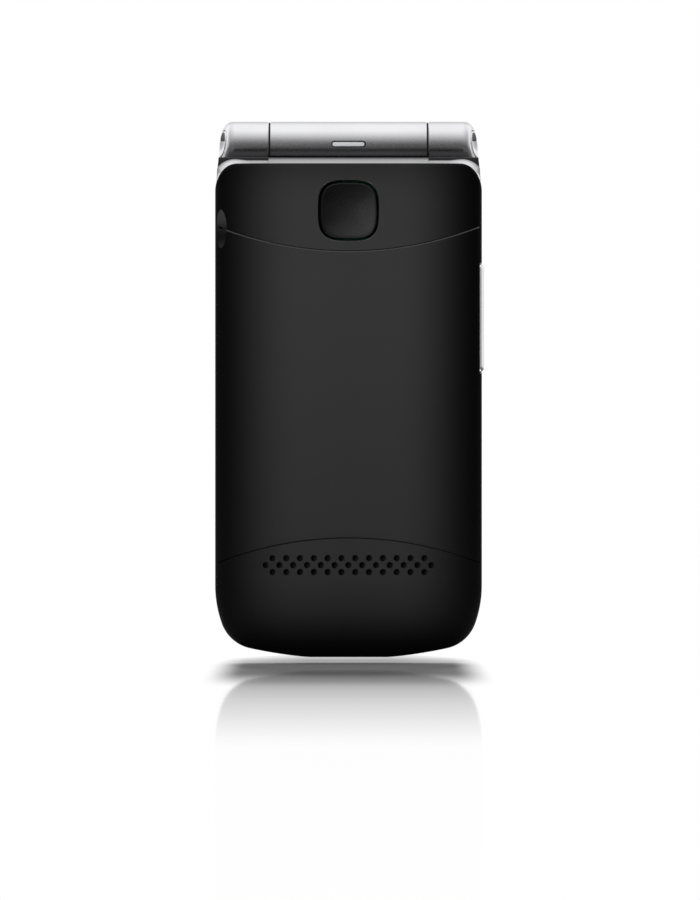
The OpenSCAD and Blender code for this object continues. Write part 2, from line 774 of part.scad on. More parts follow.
module key(k) color(k[3]) {
    plate(k[1], k[2], key_w, key_h, key_r, y_flange_back, y_front + key_proud);
    plate(k[1], k[2], key_w + 1, key_h + 1, key_r + 0.5, y_flange_back, y_flange_front);
    bar(k[1], k[2], 1.2, y_plunger, y_flange_back + 0.1);
}

module navigation_rocker() color("gray") {
    y0 = y_fascia_in - 0.5 - nav_flange_t;
    plate(0, nav_z, nav_w, nav_h, nav_w / 2 - 1, y0, y_front - nav_sink);
    plate(0, nav_z, nav_w + 0.8, nav_h + 1.6, nav_w / 2 - 0.8, y0, y0 + nav_flange_t);
}

module keypad_membrane() color("lightgray") {
    plate(0, (key_low + soft_z) / 2, 3 * key_pitch_x - 3, soft_z - key_low + key_h, 2,
        y_mem_back, y_mem_front - 0.15);
    for (k = KEYS) bar(k[1], k[2], 1.5, y_mem_back + 0.05, y_mem_front);
}

module dome_sheet() color("#c8b27a") {
    plate(0, (key_low + soft_z) / 2, 3 * key_pitch_x - 4, soft_z - key_low + key_h - 1, 2,
        y_dome_back, y_dome_back + 0.15);
    for (k = KEYS) bar(k[1], k[2], 2.2, y_dome_back + 0.05, y_dome_front);
}

module main_board() color("#1f5a35") {
    along_y(y_board_back, y_board_front) difference() {
        polygon(frame_points(frame_wall + 0.6, cavity_top - 1.5));
        for (s = [-1, 1], z = screw_zs)
            translate([s * (half_w - 2), z]) square([9, 4.6], center = true);
        translate([half_w - 3.8, rocker_z - rocker_l / 2 - 1.6]) square([6, rocker_l + 3.2]);
    }
}

module battery() color("#3a4a6a") {
    plate(0, battery_z, battery_w, battery_h, 2, y_batt_back, y_batt_front);
}

module battery_contacts() color("#d4af37") {
    z0 = bay_high + 2 * fit;
    block(0, z0 + contact_h / 2, contact_w, contact_h, y_batt_back + 1, y_board_back);
    for (x = [-0.3, 0, 0.3] * contact_w) translate([x - 0.5, y_batt_back + 1.4, bay_high + press_gap])
        cube([1, 1.2, 2 * fit + 0.2]);
}

module sim_holder() color("lightgray") {
    z0 = battery_z + 12;
    difference() {
        block(0, z0, sim_w, sim_h, y_board_back - sim_t, y_board_back);
        block(0, z0 + sim_wall, sim_w - 2 * sim_wall, sim_h, y_board_back - sim_t + 0.2, y_board_back - 0.2);
        block(0, z0, sim_w - 6.4 * sim_wall, sim_h - 4 * sim_wall, y_board_back - 2, y_board_back - 0.5);
    }
}

module shield_can() color("lightgray") {
    difference() {
        block(0, battery_z - 10, can_w, can_h, y_board_back - can_t, y_board_back);
        block(0, battery_z - 10, can_w - 2 * can_wall, can_h - 2 * can_wall,
            y_board_back - can_t + 0.2, y_board_back + 1);
    }
}

module loudspeaker() color("#333333") {
    y0 = y_back + shell_t + 0.55;
    plate(0, hole_z - speaker_drop, speaker_w, speaker_h, 2, y0, y0 + speaker_t);
}

module speaker_mesh() color("black") {
    w = (holes_mid - 1) * hole_pitch + hole_d + 2 * cloth_side;
    h = 2 * row_pitch + hole_d + 2 * cloth_edge;
    plate(0, hole_z - 0.3, w, h, 2, y_back + shell_t + 0.3, y_back + shell_t + 0.5);
}

module microphone() color("lightgray") {
    block(-mic_x, mic_z, mic_w, 0.75 * mic_w, y_board_front, y_board_front + 1.2);
}

module vibration_motor() color("lightgray") {
    bar(motor_x, sos_z + 0.6, motor_r, y_board_back - motor_t, y_board_back);
}

module charging_socket() color("lightgray") {
    z0 = 0.5;
    difference() {
        translate([-socket_w / 2, y_board_back - socket_t, z0]) cube([socket_w, socket_t, socket_d]);
        translate([-socket_w / 2 + 0.35, y_board_back - socket_t + 0.35, z0 - 1])
            cube([socket_w - 0.7, socket_t - 0.7, socket_d]);
    }
    translate([-1.9, y_board_back - socket_t / 2 - 0.3, z0 + 0.8]) cube([3.8, 0.6, socket_d - 1]);
}

module antenna() color("#b0a890") {
    translate([antenna_side - half_w, y_board_back - antenna_t, antenna_z])
        cube([antenna_w, antenna_t, antenna_h]);
}

module housing_screws() color("lightgray") {
    y0 = y_floor_back - pad_t;
    for (s = [-1, 1], z = screw_zs) {
        bar(s * screw_x, z, head_r, y0 - head_t, y0);
        bar(s * screw_x, z, screw_r, y0 - 0.1, y_board_front - 0.2);
    }
}

module hinge_cap_left() color("gainsboro") mirror([1, 0, 0]) end_cap();

module hinge_cap_right() color("gainsboro") end_cap();

module hinge_shaft() color("gray") {
    axle(plug_half + 2.8, ear_in + ear_hold - 0.2, shaft_r);
}

module hinge_unit() color("lightgray") {
    difference() {
        axle(plug_half + 0.6, barrel_half - 0.2, bore_r - press_gap);
        axle(plug_half + 2.4, barrel_half + 1, shaft_r + turn_gap);
    }
}

module hinge_bush() color("khaki") {
    difference() {
        axle(-barrel_half + 0.2, -barrel_half + 6.2, bore_r - press_gap);
        axle(-barrel_half - 1, -barrel_half + 7, pin_r + turn_gap);
    }
}

module hinge_pin() color("gray") {
    difference() {
        axle(-ear_in - ear_hold + 0.2, -barrel_half + 6, pin_r);
        axle(-ear_in - ear_hold - 1, -barrel_half + 7, pin_r - 0.65);
    }
}

module hinge_flex() color("#a8642a") {
    coil_l = -barrel_half + 6.6;
    coil_r = -plug_half - 0.4;
    tail_y = y_lid_panel + fit;
    down_x = -ear_in - ear_hold - 0.85;
    difference() {
        axle(coil_l, coil_r, bore_r - 0.6);
        axle(coil_l + 0.3, coil_r + 1, bore_r - 0.9);
    }
    translate([down_x + 0.1, y_hinge - 0.12, z_hinge - 0.8]) cube([coil_l - down_x, 0.24, 1.6]);
    translate([coil_l, tail_y, display_high + 1]) cube([coil_r - coil_l, 0.25, z_hinge - display_high - 2.7]);
    translate([down_x, y_hinge - 1.8, cavity_top - 6]) cube([0.6, 0.3, z_hinge - cavity_top + 6.8]);
    translate([down_x, y_hinge - 1.8, z_hinge - 0.8]) cube([0.6, 1.9, 1.6]);
    translate([down_x, y_board_front, cavity_top - 6]) cube([0.6, y_hinge - 1.6 - y_board_front, 0.3]);
}

module flip_frame() color("silver") {
    difference() {
        union() {
            along_y(y_lid_in, y_lid_part) difference() {
                polygon(frame_points(lid_inset, lid_top));
                polygon(frame_points(lid_inset + frame_wall, lid_top - frame_wall));
            }
            axle(-barrel_half, barrel_half, barrel_r);
            translate([-barrel_half, y_lid_in, lid_top - frame_wall])
                cube([2 * barrel_half, 3.3, z_hinge - lid_top + frame_wall]);
        }
        axle(plug_half, barrel_half + 1, bore_r);
        axle(-barrel_half - 1, -plug_half, bore_r);
        block(0, z_hinge, light_w + 2 * press_gap, light_h + 2 * press_gap,
            y_hinge - barrel_r - 1, y_hinge - barrel_r + 2.2);
        translate([-barrel_half + 6.3, y_lid_panel, lid_top - 3])
            cube([barrel_half - plug_half - 6.4, 0.5, z_hinge - lid_top + 3]);
    }
}

module indicator_light() color("white") {
    intersection() {
        block(0, z_hinge, light_w, light_h, y_hinge - barrel_r - 1, y_hinge - barrel_r + 2.1);
        axle(-light_w, light_w, barrel_r);
    }
}

module flip_cover() color("#1c1c1e") {
    boss_y = y_lid_panel + 0.65;
    difference() {
        union() {
            difference() {
                lid_form(0, y_lid_part);
                lid_form(lid_cover_t, y_lid_part - 1);
            }
            intersection() {
                lid_form(0.4, y_lid_part - 3);
                for (s = [-1, 1], p = lid_screws) bar(s * p[0], p[1], 2, boss_y, y_lid_out);
            }
        }
        plate(0, outer_z, outer_w + 2 * press_gap, outer_h + 2 * press_gap, outer_r + press_gap,
            y_lid_part + 0.5, y_lid_out + 1);
        for (s = [-1, 1], p = lid_screws)
            bar(s * p[0], p[1], screw_r + press_gap, boss_y - 1, boss_y + 2);
    }
}

module outer_lens() color("#101014") {
    intersection() {
        difference() {
            lid_form(0, y_lid_part);
            lid_form(lid_cover_t - 0.1, y_lid_part - 1);
        }
        plate(0, outer_z, outer_w, outer_h, outer_r, y_lid_part, y_lid_out + 1);
    }
}

module flip_fascia() color("#2a2a2e") {
    difference() {
        union() {
            along_y(y_lid_in, y_lid_panel) difference() {
                polygon(frame_points(lid_inset + frame_wall + fit, lid_top - frame_wall - fit));
                translate([0, display_z]) rounded_rect(lens_w + 2 * press_gap, lens_h + 2 * press_gap, 2);
                translate([0, earpiece_z]) rounded_rect(slot_w, slot_h, slot_h / 2 - 0.05);
            }
            for (s = [-1, 1], p = lid_screws)
                bar(s * p[0], p[1], 2.3, y_lid_in + 0.5, y_lid_panel + 0.6);
        }
        for (s = [-1, 1], p = lid_screws) {
            bar(s * p[0], p[1], bumper_r + press_gap, y_lid_in - 1, y_lid_panel);
            bar(s * p[0], p[1], screw_r + press_gap, y_lid_in, y_lid_panel + 1);
        }
    }
}

module display_lens() color("#15151a") {
    plate(0, display_z, lens_w, lens_h, 2 - press_gap, y_lid_in + 0.05, y_lid_panel);
}

module main_display() color("#30343c") {
    block(0, display_z, display_w, display_high - display_low, y_display, y_display + display_t);
}

module display_board() color("#1f5a35") {
    block(0, display_z, display_w - 2, display_high - display_low + 2, y_lid_board, y_lid_board + lid_board_t);
}

module outer_display() color("#30343c") {
    block(0, outer_z, outer_w - 4, outer_h - 4, y_outer, y_outer + outer_display_t);
}

module earpiece() color("lightgray") {
    plate(0, earpiece_z, earpiece_w, earpiece_h, 2, y_display + 0.3, y_display + 0.3 + earpiece_t);
}

module earpiece_mesh() color("black") {
    plate(0, earpiece_z, slot_w + 1.5, slot_h + 1.5, 1, y_lid_panel + 0.02, y_lid_panel + 0.25);
}

module flip_bumpers() color("black") {
    for (s = [-1, 1], p = lid_screws)
        bar(s * p[0], p[1], bumper_r, y_lid_in - close_gap + 0.05, y_lid_panel - head_t - 0.05);
}

module flip_screws() color("lightgray") {
    for (s = [-1, 1], p = lid_screws) {
        bar(s * p[0], p[1], head_r, y_lid_panel - head_t, y_lid_panel);
        bar(s * p[0], p[1], screw_r, y_lid_panel - 0.1, y_lid_panel + 2.4);
    }
}

module magnet() color("gray") {
    block(magnet_x, earpiece_z, magnet_w, magnet_h, y_lid_panel + 0.02, y_lid_panel + 1.8);
}

rear_housing();
base_frame();
keypad_fascia();
keypad_membrane();
dome_sheet();
main_board();
battery();
battery_contacts();
sim_holder();
shield_can();
loudspeaker();
speaker_mesh();
microphone();
vibration_motor();
charging_socket();
antenna();
housing_screws();
sos_switch();
volume_switches();
hinge_cap_left();
hinge_cap_right();
hinge_shaft();
hinge_pin();
hinge_flex();
battery_cover();
sos_button();
volume_rocker();
navigation_rocker();
flip_frame();
flip_cover();
flip_fascia();
display_lens();
main_display();
outer_lens();
outer_display();
display_board();
earpiece();
earpiece_mesh();
flip_bumpers();
flip_screws();
indicator_light();
hinge_unit();
hinge_bush();
magnet();
for (k = KEYS) key(k);
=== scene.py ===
# %% [markdown]
# # A clamshell phone, closed and seen from behind
#
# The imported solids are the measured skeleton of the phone. Each cell below dresses one piece of it with a
# smooth surface that numpy works out from a formula, and then gives it a finish made of shader nodes.
# Everything is worked out in millimetres, the way a case designer thinks, and turned into metres at the
# end.

import bmesh
import bpy
import numpy as np
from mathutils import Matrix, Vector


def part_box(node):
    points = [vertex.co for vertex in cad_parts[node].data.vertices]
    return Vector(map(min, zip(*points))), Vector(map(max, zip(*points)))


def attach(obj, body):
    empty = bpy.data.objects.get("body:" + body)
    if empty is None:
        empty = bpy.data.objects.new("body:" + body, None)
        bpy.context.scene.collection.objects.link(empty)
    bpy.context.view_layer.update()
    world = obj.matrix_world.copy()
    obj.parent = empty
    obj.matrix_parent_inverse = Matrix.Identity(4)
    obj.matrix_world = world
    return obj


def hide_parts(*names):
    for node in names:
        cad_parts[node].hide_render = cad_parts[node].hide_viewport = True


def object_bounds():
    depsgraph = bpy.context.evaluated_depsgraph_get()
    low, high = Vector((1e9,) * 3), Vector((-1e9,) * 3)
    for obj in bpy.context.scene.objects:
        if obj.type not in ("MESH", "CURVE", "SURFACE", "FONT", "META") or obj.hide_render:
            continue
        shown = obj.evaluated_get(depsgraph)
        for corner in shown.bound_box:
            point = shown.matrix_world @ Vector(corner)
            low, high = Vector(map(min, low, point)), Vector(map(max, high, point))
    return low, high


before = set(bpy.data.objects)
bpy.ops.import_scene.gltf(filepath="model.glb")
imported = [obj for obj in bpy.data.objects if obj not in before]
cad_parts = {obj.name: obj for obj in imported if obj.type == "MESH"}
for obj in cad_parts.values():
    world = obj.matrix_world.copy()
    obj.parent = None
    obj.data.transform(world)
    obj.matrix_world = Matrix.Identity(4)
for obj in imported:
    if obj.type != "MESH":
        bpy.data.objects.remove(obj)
cad_low, cad_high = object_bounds()
MM = 0.001

# %% [markdown]
# ## Sizes
#
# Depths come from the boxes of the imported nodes, so the looks can't drift away from the solids. The
# outline is three arcs, a shallow foot, a corner and an easing, and then a straight side whose shoulder
# leans in.

# %% Sizes in millimetres
HALF_W = 26.0
FOOT_R, FOOT_SINK, CORNER_R = 90.0, 0.35, 7.5
EASE_R, EASE_Z = 22.0, 14.0
SHOULDER_Z, SHOULDER_DROP, SHOULDER_LEAN = 91.0, 6.5, 0.65
FRAME_TOP, REAR_TOP, LID_TOP = 97.5, 96.1, 95.6
FLAT, ROLL_N, ROLL_D = 12.0, 2.4, 5.6
SPAN = HALF_W - FLAT
FRAME_WALL, LID_BAND, HINGE_RISE = 1.4, 3.6, 2.85
SIDES = (("left", -1), ("right", 1))
MIRROR = np.array([-1.0, 1.0])


def depth_of(node, side):
    """Lowest (0) or highest (1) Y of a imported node, in millimetres."""
    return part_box(node)[side][1] / MM


Y_BACK = depth_of("rear_housing", 0)
Y_PART = depth_of("rear_housing", 1)
Y_FRONT = depth_of("keypad_fascia", 1)
Y_LID_IN = depth_of("flip_fascia", 0)
Y_LID_PART = Y_LID_IN + LID_BAND
Y_LID_OUT = cad_high[1] / MM
Y_HINGE = (Y_FRONT + Y_LID_IN) / 2
Z_HINGE = FRAME_TOP + HINGE_RISE
print(f"back {Y_BACK:.2f}, parting line {Y_PART:.2f}, keypad {Y_FRONT:.2f}, lid to {Y_LID_OUT:.2f}")

# %% [markdown]
# ## From grids to pieces
#
# Every surface here is a grid of points: one parameter runs along the rows and one along the columns. A
# closed line loops along one of them, and a tube of such lines gets a face on one end or on both.


# %% Grids
def quads(rows, cols, loop_rows=False, loop_cols=False, flip=False):
    """Corner numbers of each cell of a grid. A looped side joins its last line to its first."""
    r = np.arange(rows if loop_rows else rows - 1)
    c = np.arange(cols if loop_cols else cols - 1)
    r0, c0 = np.meshgrid(r, c, indexing="ij")
    r1, c1 = (r0 + 1) % rows, (c0 + 1) % cols
    order = [r0 * cols + c0, r0 * cols + c1, r1 * cols + c1, r1 * cols + c0]
    if flip:
        order = order[::-1]
    return np.stack(order, -1).reshape(-1, 4)


def patch(x, y, z, **how):
    """A grid of points, given as three arrays that broadcast to rows x columns, with its faces."""
    points = np.stack(np.broadcast_arrays(x, y, z), -1)
    rows, cols = points.shape[:2]
    return points.reshape(-1, 3), quads(rows, cols, **how).tolist()


def lid_on(x, y, z, flip=False):
    """One flat many-sided face on a closed line of points."""
    points = np.stack(np.broadcast_arrays(x, y, z), -1).reshape(-1, 3)
    order = list(range(len(points)))
    return points, [order[::-1] if flip else order]


def domed(x, y, z):
    """Rings that grow from a point, with a face on the last one."""
    x, y, z = np.broadcast_arrays(x, y, z)
    return [patch(x, y, z, loop_cols=True), lid_on(x[-1], y[-1], z[-1])]


def capped(x, y, z, by_rows=False):
    """A tube with a face on both ends. Its closed lines run along the columns, or down the rows."""
    x, y, z = np.broadcast_arrays(x, y, z)
    tube = patch(x, y, z, loop_rows=by_rows, loop_cols=not by_rows)
    if by_rows:
        x, y, z = x.T, y.T, z.T
    return [tube, lid_on(x[0], y[0], z[0]), lid_on(x[-1], y[-1], z[-1], flip=True)]


print("a grid of 3 x 4 points has", len(quads(3, 4)), "faces")

# %% [markdown]
# The grids of a piece become one mesh in metres, welded where two of them share points. The weld is far
# smaller than any detail.

# %% Meshes
WELD, SLIVER = 0.002, 0.0005


def make_mesh(name, patches, outward=True):
    """A mesh in metres from patches in millimetres. Face numbers move up by the points before them."""
    starts = np.cumsum([0] + [len(points) for points, _ in patches])
    points = np.concatenate([points for points, _ in patches])
    faces = [[int(i) + int(s) for i in f] for (_, fs), s in zip(patches, starts) for f in fs]
    mesh = bpy.data.meshes.new(name)
    mesh.from_pydata((points * MM).tolist(), [], faces)
    work = bmesh.new()
    work.from_mesh(mesh)
    bmesh.ops.remove_doubles(work, verts=work.verts, dist=WELD * MM)
    bmesh.ops.dissolve_degenerate(work, edges=work.edges, dist=SLIVER * MM)
    if outward:
        bmesh.ops.recalc_face_normals(work, faces=work.faces)
    work.to_mesh(mesh)
    work.free()
    return mesh


def make_object(name, patches, outward=True):
    """A new object at the origin, with its place in its mesh."""
    piece = bpy.data.objects.new(name, make_mesh(name, patches, outward))
    bpy.context.scene.collection.objects.link(piece)
    return piece


print("points closer than", WELD, "mm are welded")

# %% [markdown]
# Modifiers give a sheet its wall, cut its openings and round its small edges, and their result is kept as
# the piece's own mesh. A cutter that has a finish leaves it on the faces that it cuts.


# %% Walls, cuts and edges
def settle(piece, wall=0.0, cuts=(), edge=0.0, smooth=32):
    """Gives a piece its wall, its cuts and its rounded edges, and keeps the result as its mesh."""
    if wall:
        shell = piece.modifiers.new("wall", "SOLIDIFY")
        shell.thickness, shell.offset = wall * MM, -1
        shell.use_even_offset = True
        shell.thickness_clamp = 0.0
    for tool in cuts:
        cut = piece.modifiers.new("cut", "BOOLEAN")
        cut.operation, cut.solver, cut.object = "DIFFERENCE", "EXACT", tool
        if tool.data.materials:
            cut.material_mode = "TRANSFER"
    if edge:
        bevel = piece.modifiers.new("edge", "BEVEL")
        bevel.width, bevel.segments, bevel.limit_method = edge * MM, 2, "ANGLE"
        bevel.angle_limit = np.radians(smooth)
    if piece.modifiers:
        bpy.context.view_layer.update()
        graph = bpy.context.evaluated_depsgraph_get()
        piece_mesh = bpy.data.meshes.new_from_object(piece.evaluated_get(graph))
        piece.modifiers.clear()
        piece.data = piece_mesh
    piece.data.shade_smooth()
    piece.data.set_sharp_from_angle(angle=np.radians(smooth))


CUTTERS = []


def cutter(name, patches, finish=None):
    """A helper object that is only there to cut."""
    tool = make_object(name, patches)
    if finish:
        tool.data.materials.append(finish)
    CUTTERS.append(tool)
    return tool


print(len(CUTTERS), "cutters at the start")

# %% [markdown]
# A finished piece rides on its body, so that it moves with the joints, and hides the solids that it
# stands for.


# %% Onto a body
def dress(piece, body, stands_for=()):
    """Lets a piece ride on its body and hides the solids that it stands for."""
    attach(piece, body)
    if stands_for:
        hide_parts(*stands_for)
    print(piece.name, len(piece.data.polygons), "faces")


def build(name, patches, body, finish, stands_for=(), slot=None, outward=True, **shape):
    """A piece from its patches to its body. The values in shape are those of settle."""
    piece = make_object(name, patches, outward)
    piece.data.materials.append(finish)
    settle(piece, **shape)
    dress(piece, body, stands_for)


# %% [markdown]
# ## Finishes
#
# A finish is never one flat colour. Moulded plastic has a fine grain that breaks up its gloss, metallic
# paint has flakes, rubber is dull and slightly dusty. All patterns read the Object coordinates, so they
# are in metres and stay put on the piece, wherever the camera stands. Each helper adds its node to the
# tree of its value.


# %% Values in a finish
def noise(tree, scale, detail=3.0):
    """Noise on Object coordinates, scale features per metre."""
    where = tree.nodes.new("ShaderNodeTexCoord")
    grain = tree.nodes.new("ShaderNodeTexNoise")
    grain.inputs["Scale"].default_value = scale
    grain.inputs["Detail"].default_value = detail
    tree.links.new(where.outputs["Object"], grain.inputs["Vector"])
    return grain.outputs["Fac"]


def axis_of(tree, axis):
    """One of the Object coordinates, in metres."""
    where = tree.nodes.new("ShaderNodeTexCoord")
    split = tree.nodes.new("ShaderNodeSeparateXYZ")
    tree.links.new(where.outputs["Object"], split.inputs["Vector"])
    return split.outputs[axis]


def stretch(value, start, end, low, high, ease="SMOOTHSTEP"):
    """A ramp from low at start to high at end."""
    tree = value.id_data
    ramp = tree.nodes.new("ShaderNodeMapRange")
    ramp.interpolation_type = ease
    ramp.inputs["From Min"].default_value = start
    ramp.inputs["From Max"].default_value = end
    ramp.inputs["To Min"].default_value = low
    ramp.inputs["To Max"].default_value = high
    tree.links.new(value, ramp.inputs["Value"])
    return ramp.outputs["Result"]


def uneven(value, low, high):
    """Spreads a noise, most of which lies between 0.3 and 0.7, over low to high."""
    return stretch(value, 0.3, 0.7, low, high, "LINEAR")


def combine(kind, first, second=0.0):
    """One value with another value or with a number."""
    tree = first.id_data
    node = tree.nodes.new("ShaderNodeMath")
    node.operation = kind
    tree.links.new(first, node.inputs[0])
    if isinstance(second, float):
        node.inputs[1].default_value = second
    else:
        tree.links.new(second, node.inputs[1])
    return node.outputs[0]


print("1 mm is", MM, "in the nodes")

# %% [markdown]
# Plastics, paints and platings are one recipe with different numbers: a colour that wanders a little, a
# gloss that wanders with the grain, and the grain itself as a shallow relief.


# %% Grained finishes
def blank_finish(name, color, roughness, metallic=0.0, specular=0.5):
    """A new material with its main shader's constant values, and its node tree."""
    finish = bpy.data.materials.new(name)
    finish.use_nodes = True
    shader = finish.node_tree.nodes["Principled BSDF"]
    shader.inputs["Base Color"].default_value = (*color, 1)
    shader.inputs["Roughness"].default_value = roughness
    shader.inputs["Metallic"].default_value = metallic
    shader.inputs["Specular IOR Level"].default_value = specular
    finish.diffuse_color = (*color, 1)
    return finish, finish.node_tree, shader


def two_tones(value, first, second):
    """Mixes two colours by a value."""
    tree = value.id_data
    mix = tree.nodes.new("ShaderNodeMix")
    mix.data_type = "RGBA"
    mix.inputs["A"].default_value = (*first, 1)
    mix.inputs["B"].default_value = (*second, 1)
    tree.links.new(value, mix.inputs["Factor"])
    return mix.outputs["Result"]


def roughen(shader, height, strength, distance=0.02):
    """Bump from a height, in millimetres of relief."""
    tree = shader.id_data
    bump = tree.nodes.new("ShaderNodeBump")
    bump.inputs["Strength"].default_value = strength
    bump.inputs["Distance"].default_value = distance * MM
    tree.links.new(height, bump.inputs["Height"])
    tree.links.new(bump.outputs["Normal"], shader.inputs["Normal"])


def grained(name, color, spread, roughness, grain, relief, specular=0.5, metallic=0.0, coat=0.0):
    """A moulded, painted or plated finish: patchy colour, uneven gloss and a fine grain."""
    finish, tree, shader = blank_finish(name, color, roughness, metallic, specular)
    color = np.array(color)
    brighter = np.minimum(color * (1 + spread), 1.0)
    tones = two_tones(uneven(noise(tree, 90.0), 0.0, 1.0), color * (1 - spread), brighter)
    tree.links.new(tones, shader.inputs["Base Color"])
    fine = noise(tree, grain, 2.0)
    gloss = uneven(fine, max(roughness - 0.06, 0.02), roughness + 0.06)
    tree.links.new(gloss, shader.inputs["Roughness"])
    if relief:
        roughen(shader, fine, relief)
    shader.inputs["Coat Weight"].default_value = coat
    shader.inputs["Coat Roughness"].default_value = 0.08
    return finish


# In order: name, colour, spread of the tone, roughness, grains per metre, relief, specular, metallic, coat.
DECK = grained("dark_hinge_bed", (0.07, 0.07, 0.072), 0.05, 0.45, 9000.0, 0.06, 0.5, 0.9)
SILVER = grained("silver_metallic_paint", (0.9, 0.9, 0.92), 0.03, 0.3, 9000.0, 0.04, 0.5, 1.0)
CHROME = grained("bright_chrome", (0.82, 0.82, 0.84), 0.02, 0.09, 4000.0, 0.0, 0.5, 1.0)
PANEL = grained("dark_satin_panel", (0.022, 0.022, 0.025), 0.1, 0.38, 3600.0, 0.12, 0.4)
KEYCAP = grained("key_plastic", (0.05, 0.05, 0.054), 0.08, 0.34, 3000.0, 0.08, 0.5)
FUNCTION_KEY = grained("function_key_silver", (0.42, 0.42, 0.44), 0.04, 0.3, 8000.0, 0.05, 0.5, 0.8)
GREEN_KEY = grained("call_key_green", (0.03, 0.2, 0.06), 0.08, 0.34, 3000.0, 0.08)
RED_KEY = grained("end_key_red", (0.34, 0.02, 0.02), 0.08, 0.34, 3000.0, 0.08)
PRINT = grained("white_key_print", (0.78, 0.78, 0.78), 0.03, 0.5, 6000.0, 0.0)
RUBBER = grained("black_rubber", (0.018, 0.018, 0.018), 0.2, 0.75, 2400.0, 0.4, 0.3)
MILKY = grained("milky_light_pipe", (0.86, 0.87, 0.9), 0.03, 0.22, 2000.0, 0.0, 0.5, 0.0, 0.4)
STEEL = grained("plain_steel", (0.55, 0.55, 0.56), 0.06, 0.32, 5200.0, 0.1, 0.5, 1.0)
GOLD = grained("gold_plate", (0.83, 0.62, 0.27), 0.05, 0.26, 5200.0, 0.05, 0.5, 1.0)
BOARD = grained("green_solder_mask", (0.015, 0.1, 0.045), 0.15, 0.36, 1500.0, 0.1)
WRAP = grained("battery_wrap", (0.12, 0.13, 0.16), 0.08, 0.42, 1800.0, 0.08)
TRAY = grained("black_tray_plastic", (0.02, 0.02, 0.021), 0.12, 0.55, 2600.0, 0.25, 0.3)
FILM = grained("ribbon_film", (0.42, 0.19, 0.05), 0.08, 0.3, 1800.0, 0.05)
NATURAL = grained("natural_plastic", (0.6, 0.55, 0.43), 0.06, 0.48, 2400.0, 0.15)
SILICONE = grained("grey_silicone", (0.45, 0.45, 0.45), 0.06, 0.6, 2200.0, 0.15)
print(len(bpy.data.materials), "grained finishes")

# %% [markdown]
# ### The soft black back
#
# The back is a soft-touch lacquer: nearly black and matt. Painted shade darkens it where the edges roll
# away, towards the foot and at the top edge; the flat middle is left a little greyer. The fade is painted
# from the piece's own X and Z, so it belongs to the piece. The button, the thumb notch and the glossy edges
# carry painted light and shade in the same way.


# %% Painted blacks
def along(tree, axis, stops, fold=False):
    """A value painted along an Object axis, from stops in millimetres. Folded, both sides match."""
    value = axis_of(tree, axis)
    if fold:
        value = combine("ABSOLUTE", value)
    first, last = stops[0][0], stops[-1][0]
    ramp = tree.nodes.new("ShaderNodeValToRGB")
    ramp.color_ramp.interpolation = "B_SPLINE"
    marks = ramp.color_ramp.elements
    while len(marks) < len(stops):
        marks.new(0.5)
    for mark, (at, level) in zip(marks, stops):
        mark.position = (at - first) / (last - first)
        mark.color = (level, level, level, 1)
    tree.links.new(stretch(value, first * MM, last * MM, 0.0, 1.0, "LINEAR"), ramp.inputs["Fac"])
    return ramp.outputs["Color"]


def shaded(name, dark, light, ramps, roughness, specular, relief=0.08, blue=1.0):
    """A black finish between two levels, painted along one or two Object axes: painted light and shade."""
    finish, tree, shader = blank_finish(name, (light,) * 3, roughness, specular=specular)
    level = along(tree, *ramps[0])
    for ramp in ramps[1:]:
        level = combine("MULTIPLY", level, along(tree, *ramp))
    tones = two_tones(level, (dark,) * 3, (light, light, light * blue))
    tree.links.new(tones, shader.inputs["Base Color"])
    fine = noise(tree, 5200.0, 2.0)
    tree.links.new(uneven(fine, roughness - 0.05, roughness + 0.05), shader.inputs["Roughness"])
    roughen(shader, fine, relief, 0.01)
    return finish


# Painted shade: the blacks are darker towards both rolled sides, towards the foot and at the top edge.
SHADE_ACROSS = ("X", [(0, 0.95), (10, 1.0), (14, 0.84), (18, 0.48), (22, 0.1), (26, 0.0)], True)
SHADE_UPWARDS = ("Z", [
    (0, 0.0), (4, 0.04), (9, 0.42), (16, 0.66), (50, 0.84), (84, 1.1), (92, 0.95), (97, 0.5)])
BLACK_BACK = shaded("soft_black_lacquer_painted_shade", 0.0012, 0.049, [SHADE_ACROSS, SHADE_UPWARDS], 0.59, 0.025, 0.12, 1.02)
BLACK_LID = shaded("soft_black_lid_painted_shade", 0.006, 0.03, [SHADE_ACROSS, SHADE_UPWARDS], 0.59, 0.025, 0.12, 1.02)
# Painted shade on the help button: dark at its upper left, lighter towards its lower right.
BUTTON = shaded("black_button_painted_shade", 0.001, 0.043, [
    ("X", [(-5.5, 0.0), (0, 0.45), (5.5, 1.0)]),
    ("Z", [(81.4, 1.1), (87, 0.85), (90, 0.4), (92.4, 0.1)])], 0.3, 0.35, 0.0)
# Painted light and shade in the thumb notch: lighter at its top, a dark band low down, a little lighter
# below.
SCOOP = shaded("black_scoop_painted_light", 0.001, 0.045, [("Z", [
    (79.0, 0.36), (79.9, 0.36), (80.4, 0.28), (81.0, 0.12), (81.6, 0.0), (82.2, 0.0), (82.8, 0.1),
    (83.4, 0.25), (84.0, 0.42), (84.6, 0.66), (85.1, 0.95), (86.0, 1.0), (88.0, 1.0)])], 0.5, 0.1)
# The glossy edges are painted darker towards both sides: painted shade, as on the back.
RIM = shaded("glossy_black_edge_painted_shade", 0.01, 0.03, [("X", [(-26, 0.5), (0, 1.0), (26, 0.5)])], 0.3, 1.0, 0.02)
print(len(bpy.data.materials), "finishes with the blacks")

# %% [markdown]
# ## The rear housing
#
# The black back is one moulding whose sides roll away like a worn pebble. Across the phone the section is
# a flat with two superellipse rolls, and round the lower corners the same roll turns as a fan about one
# point, so no crease forms.


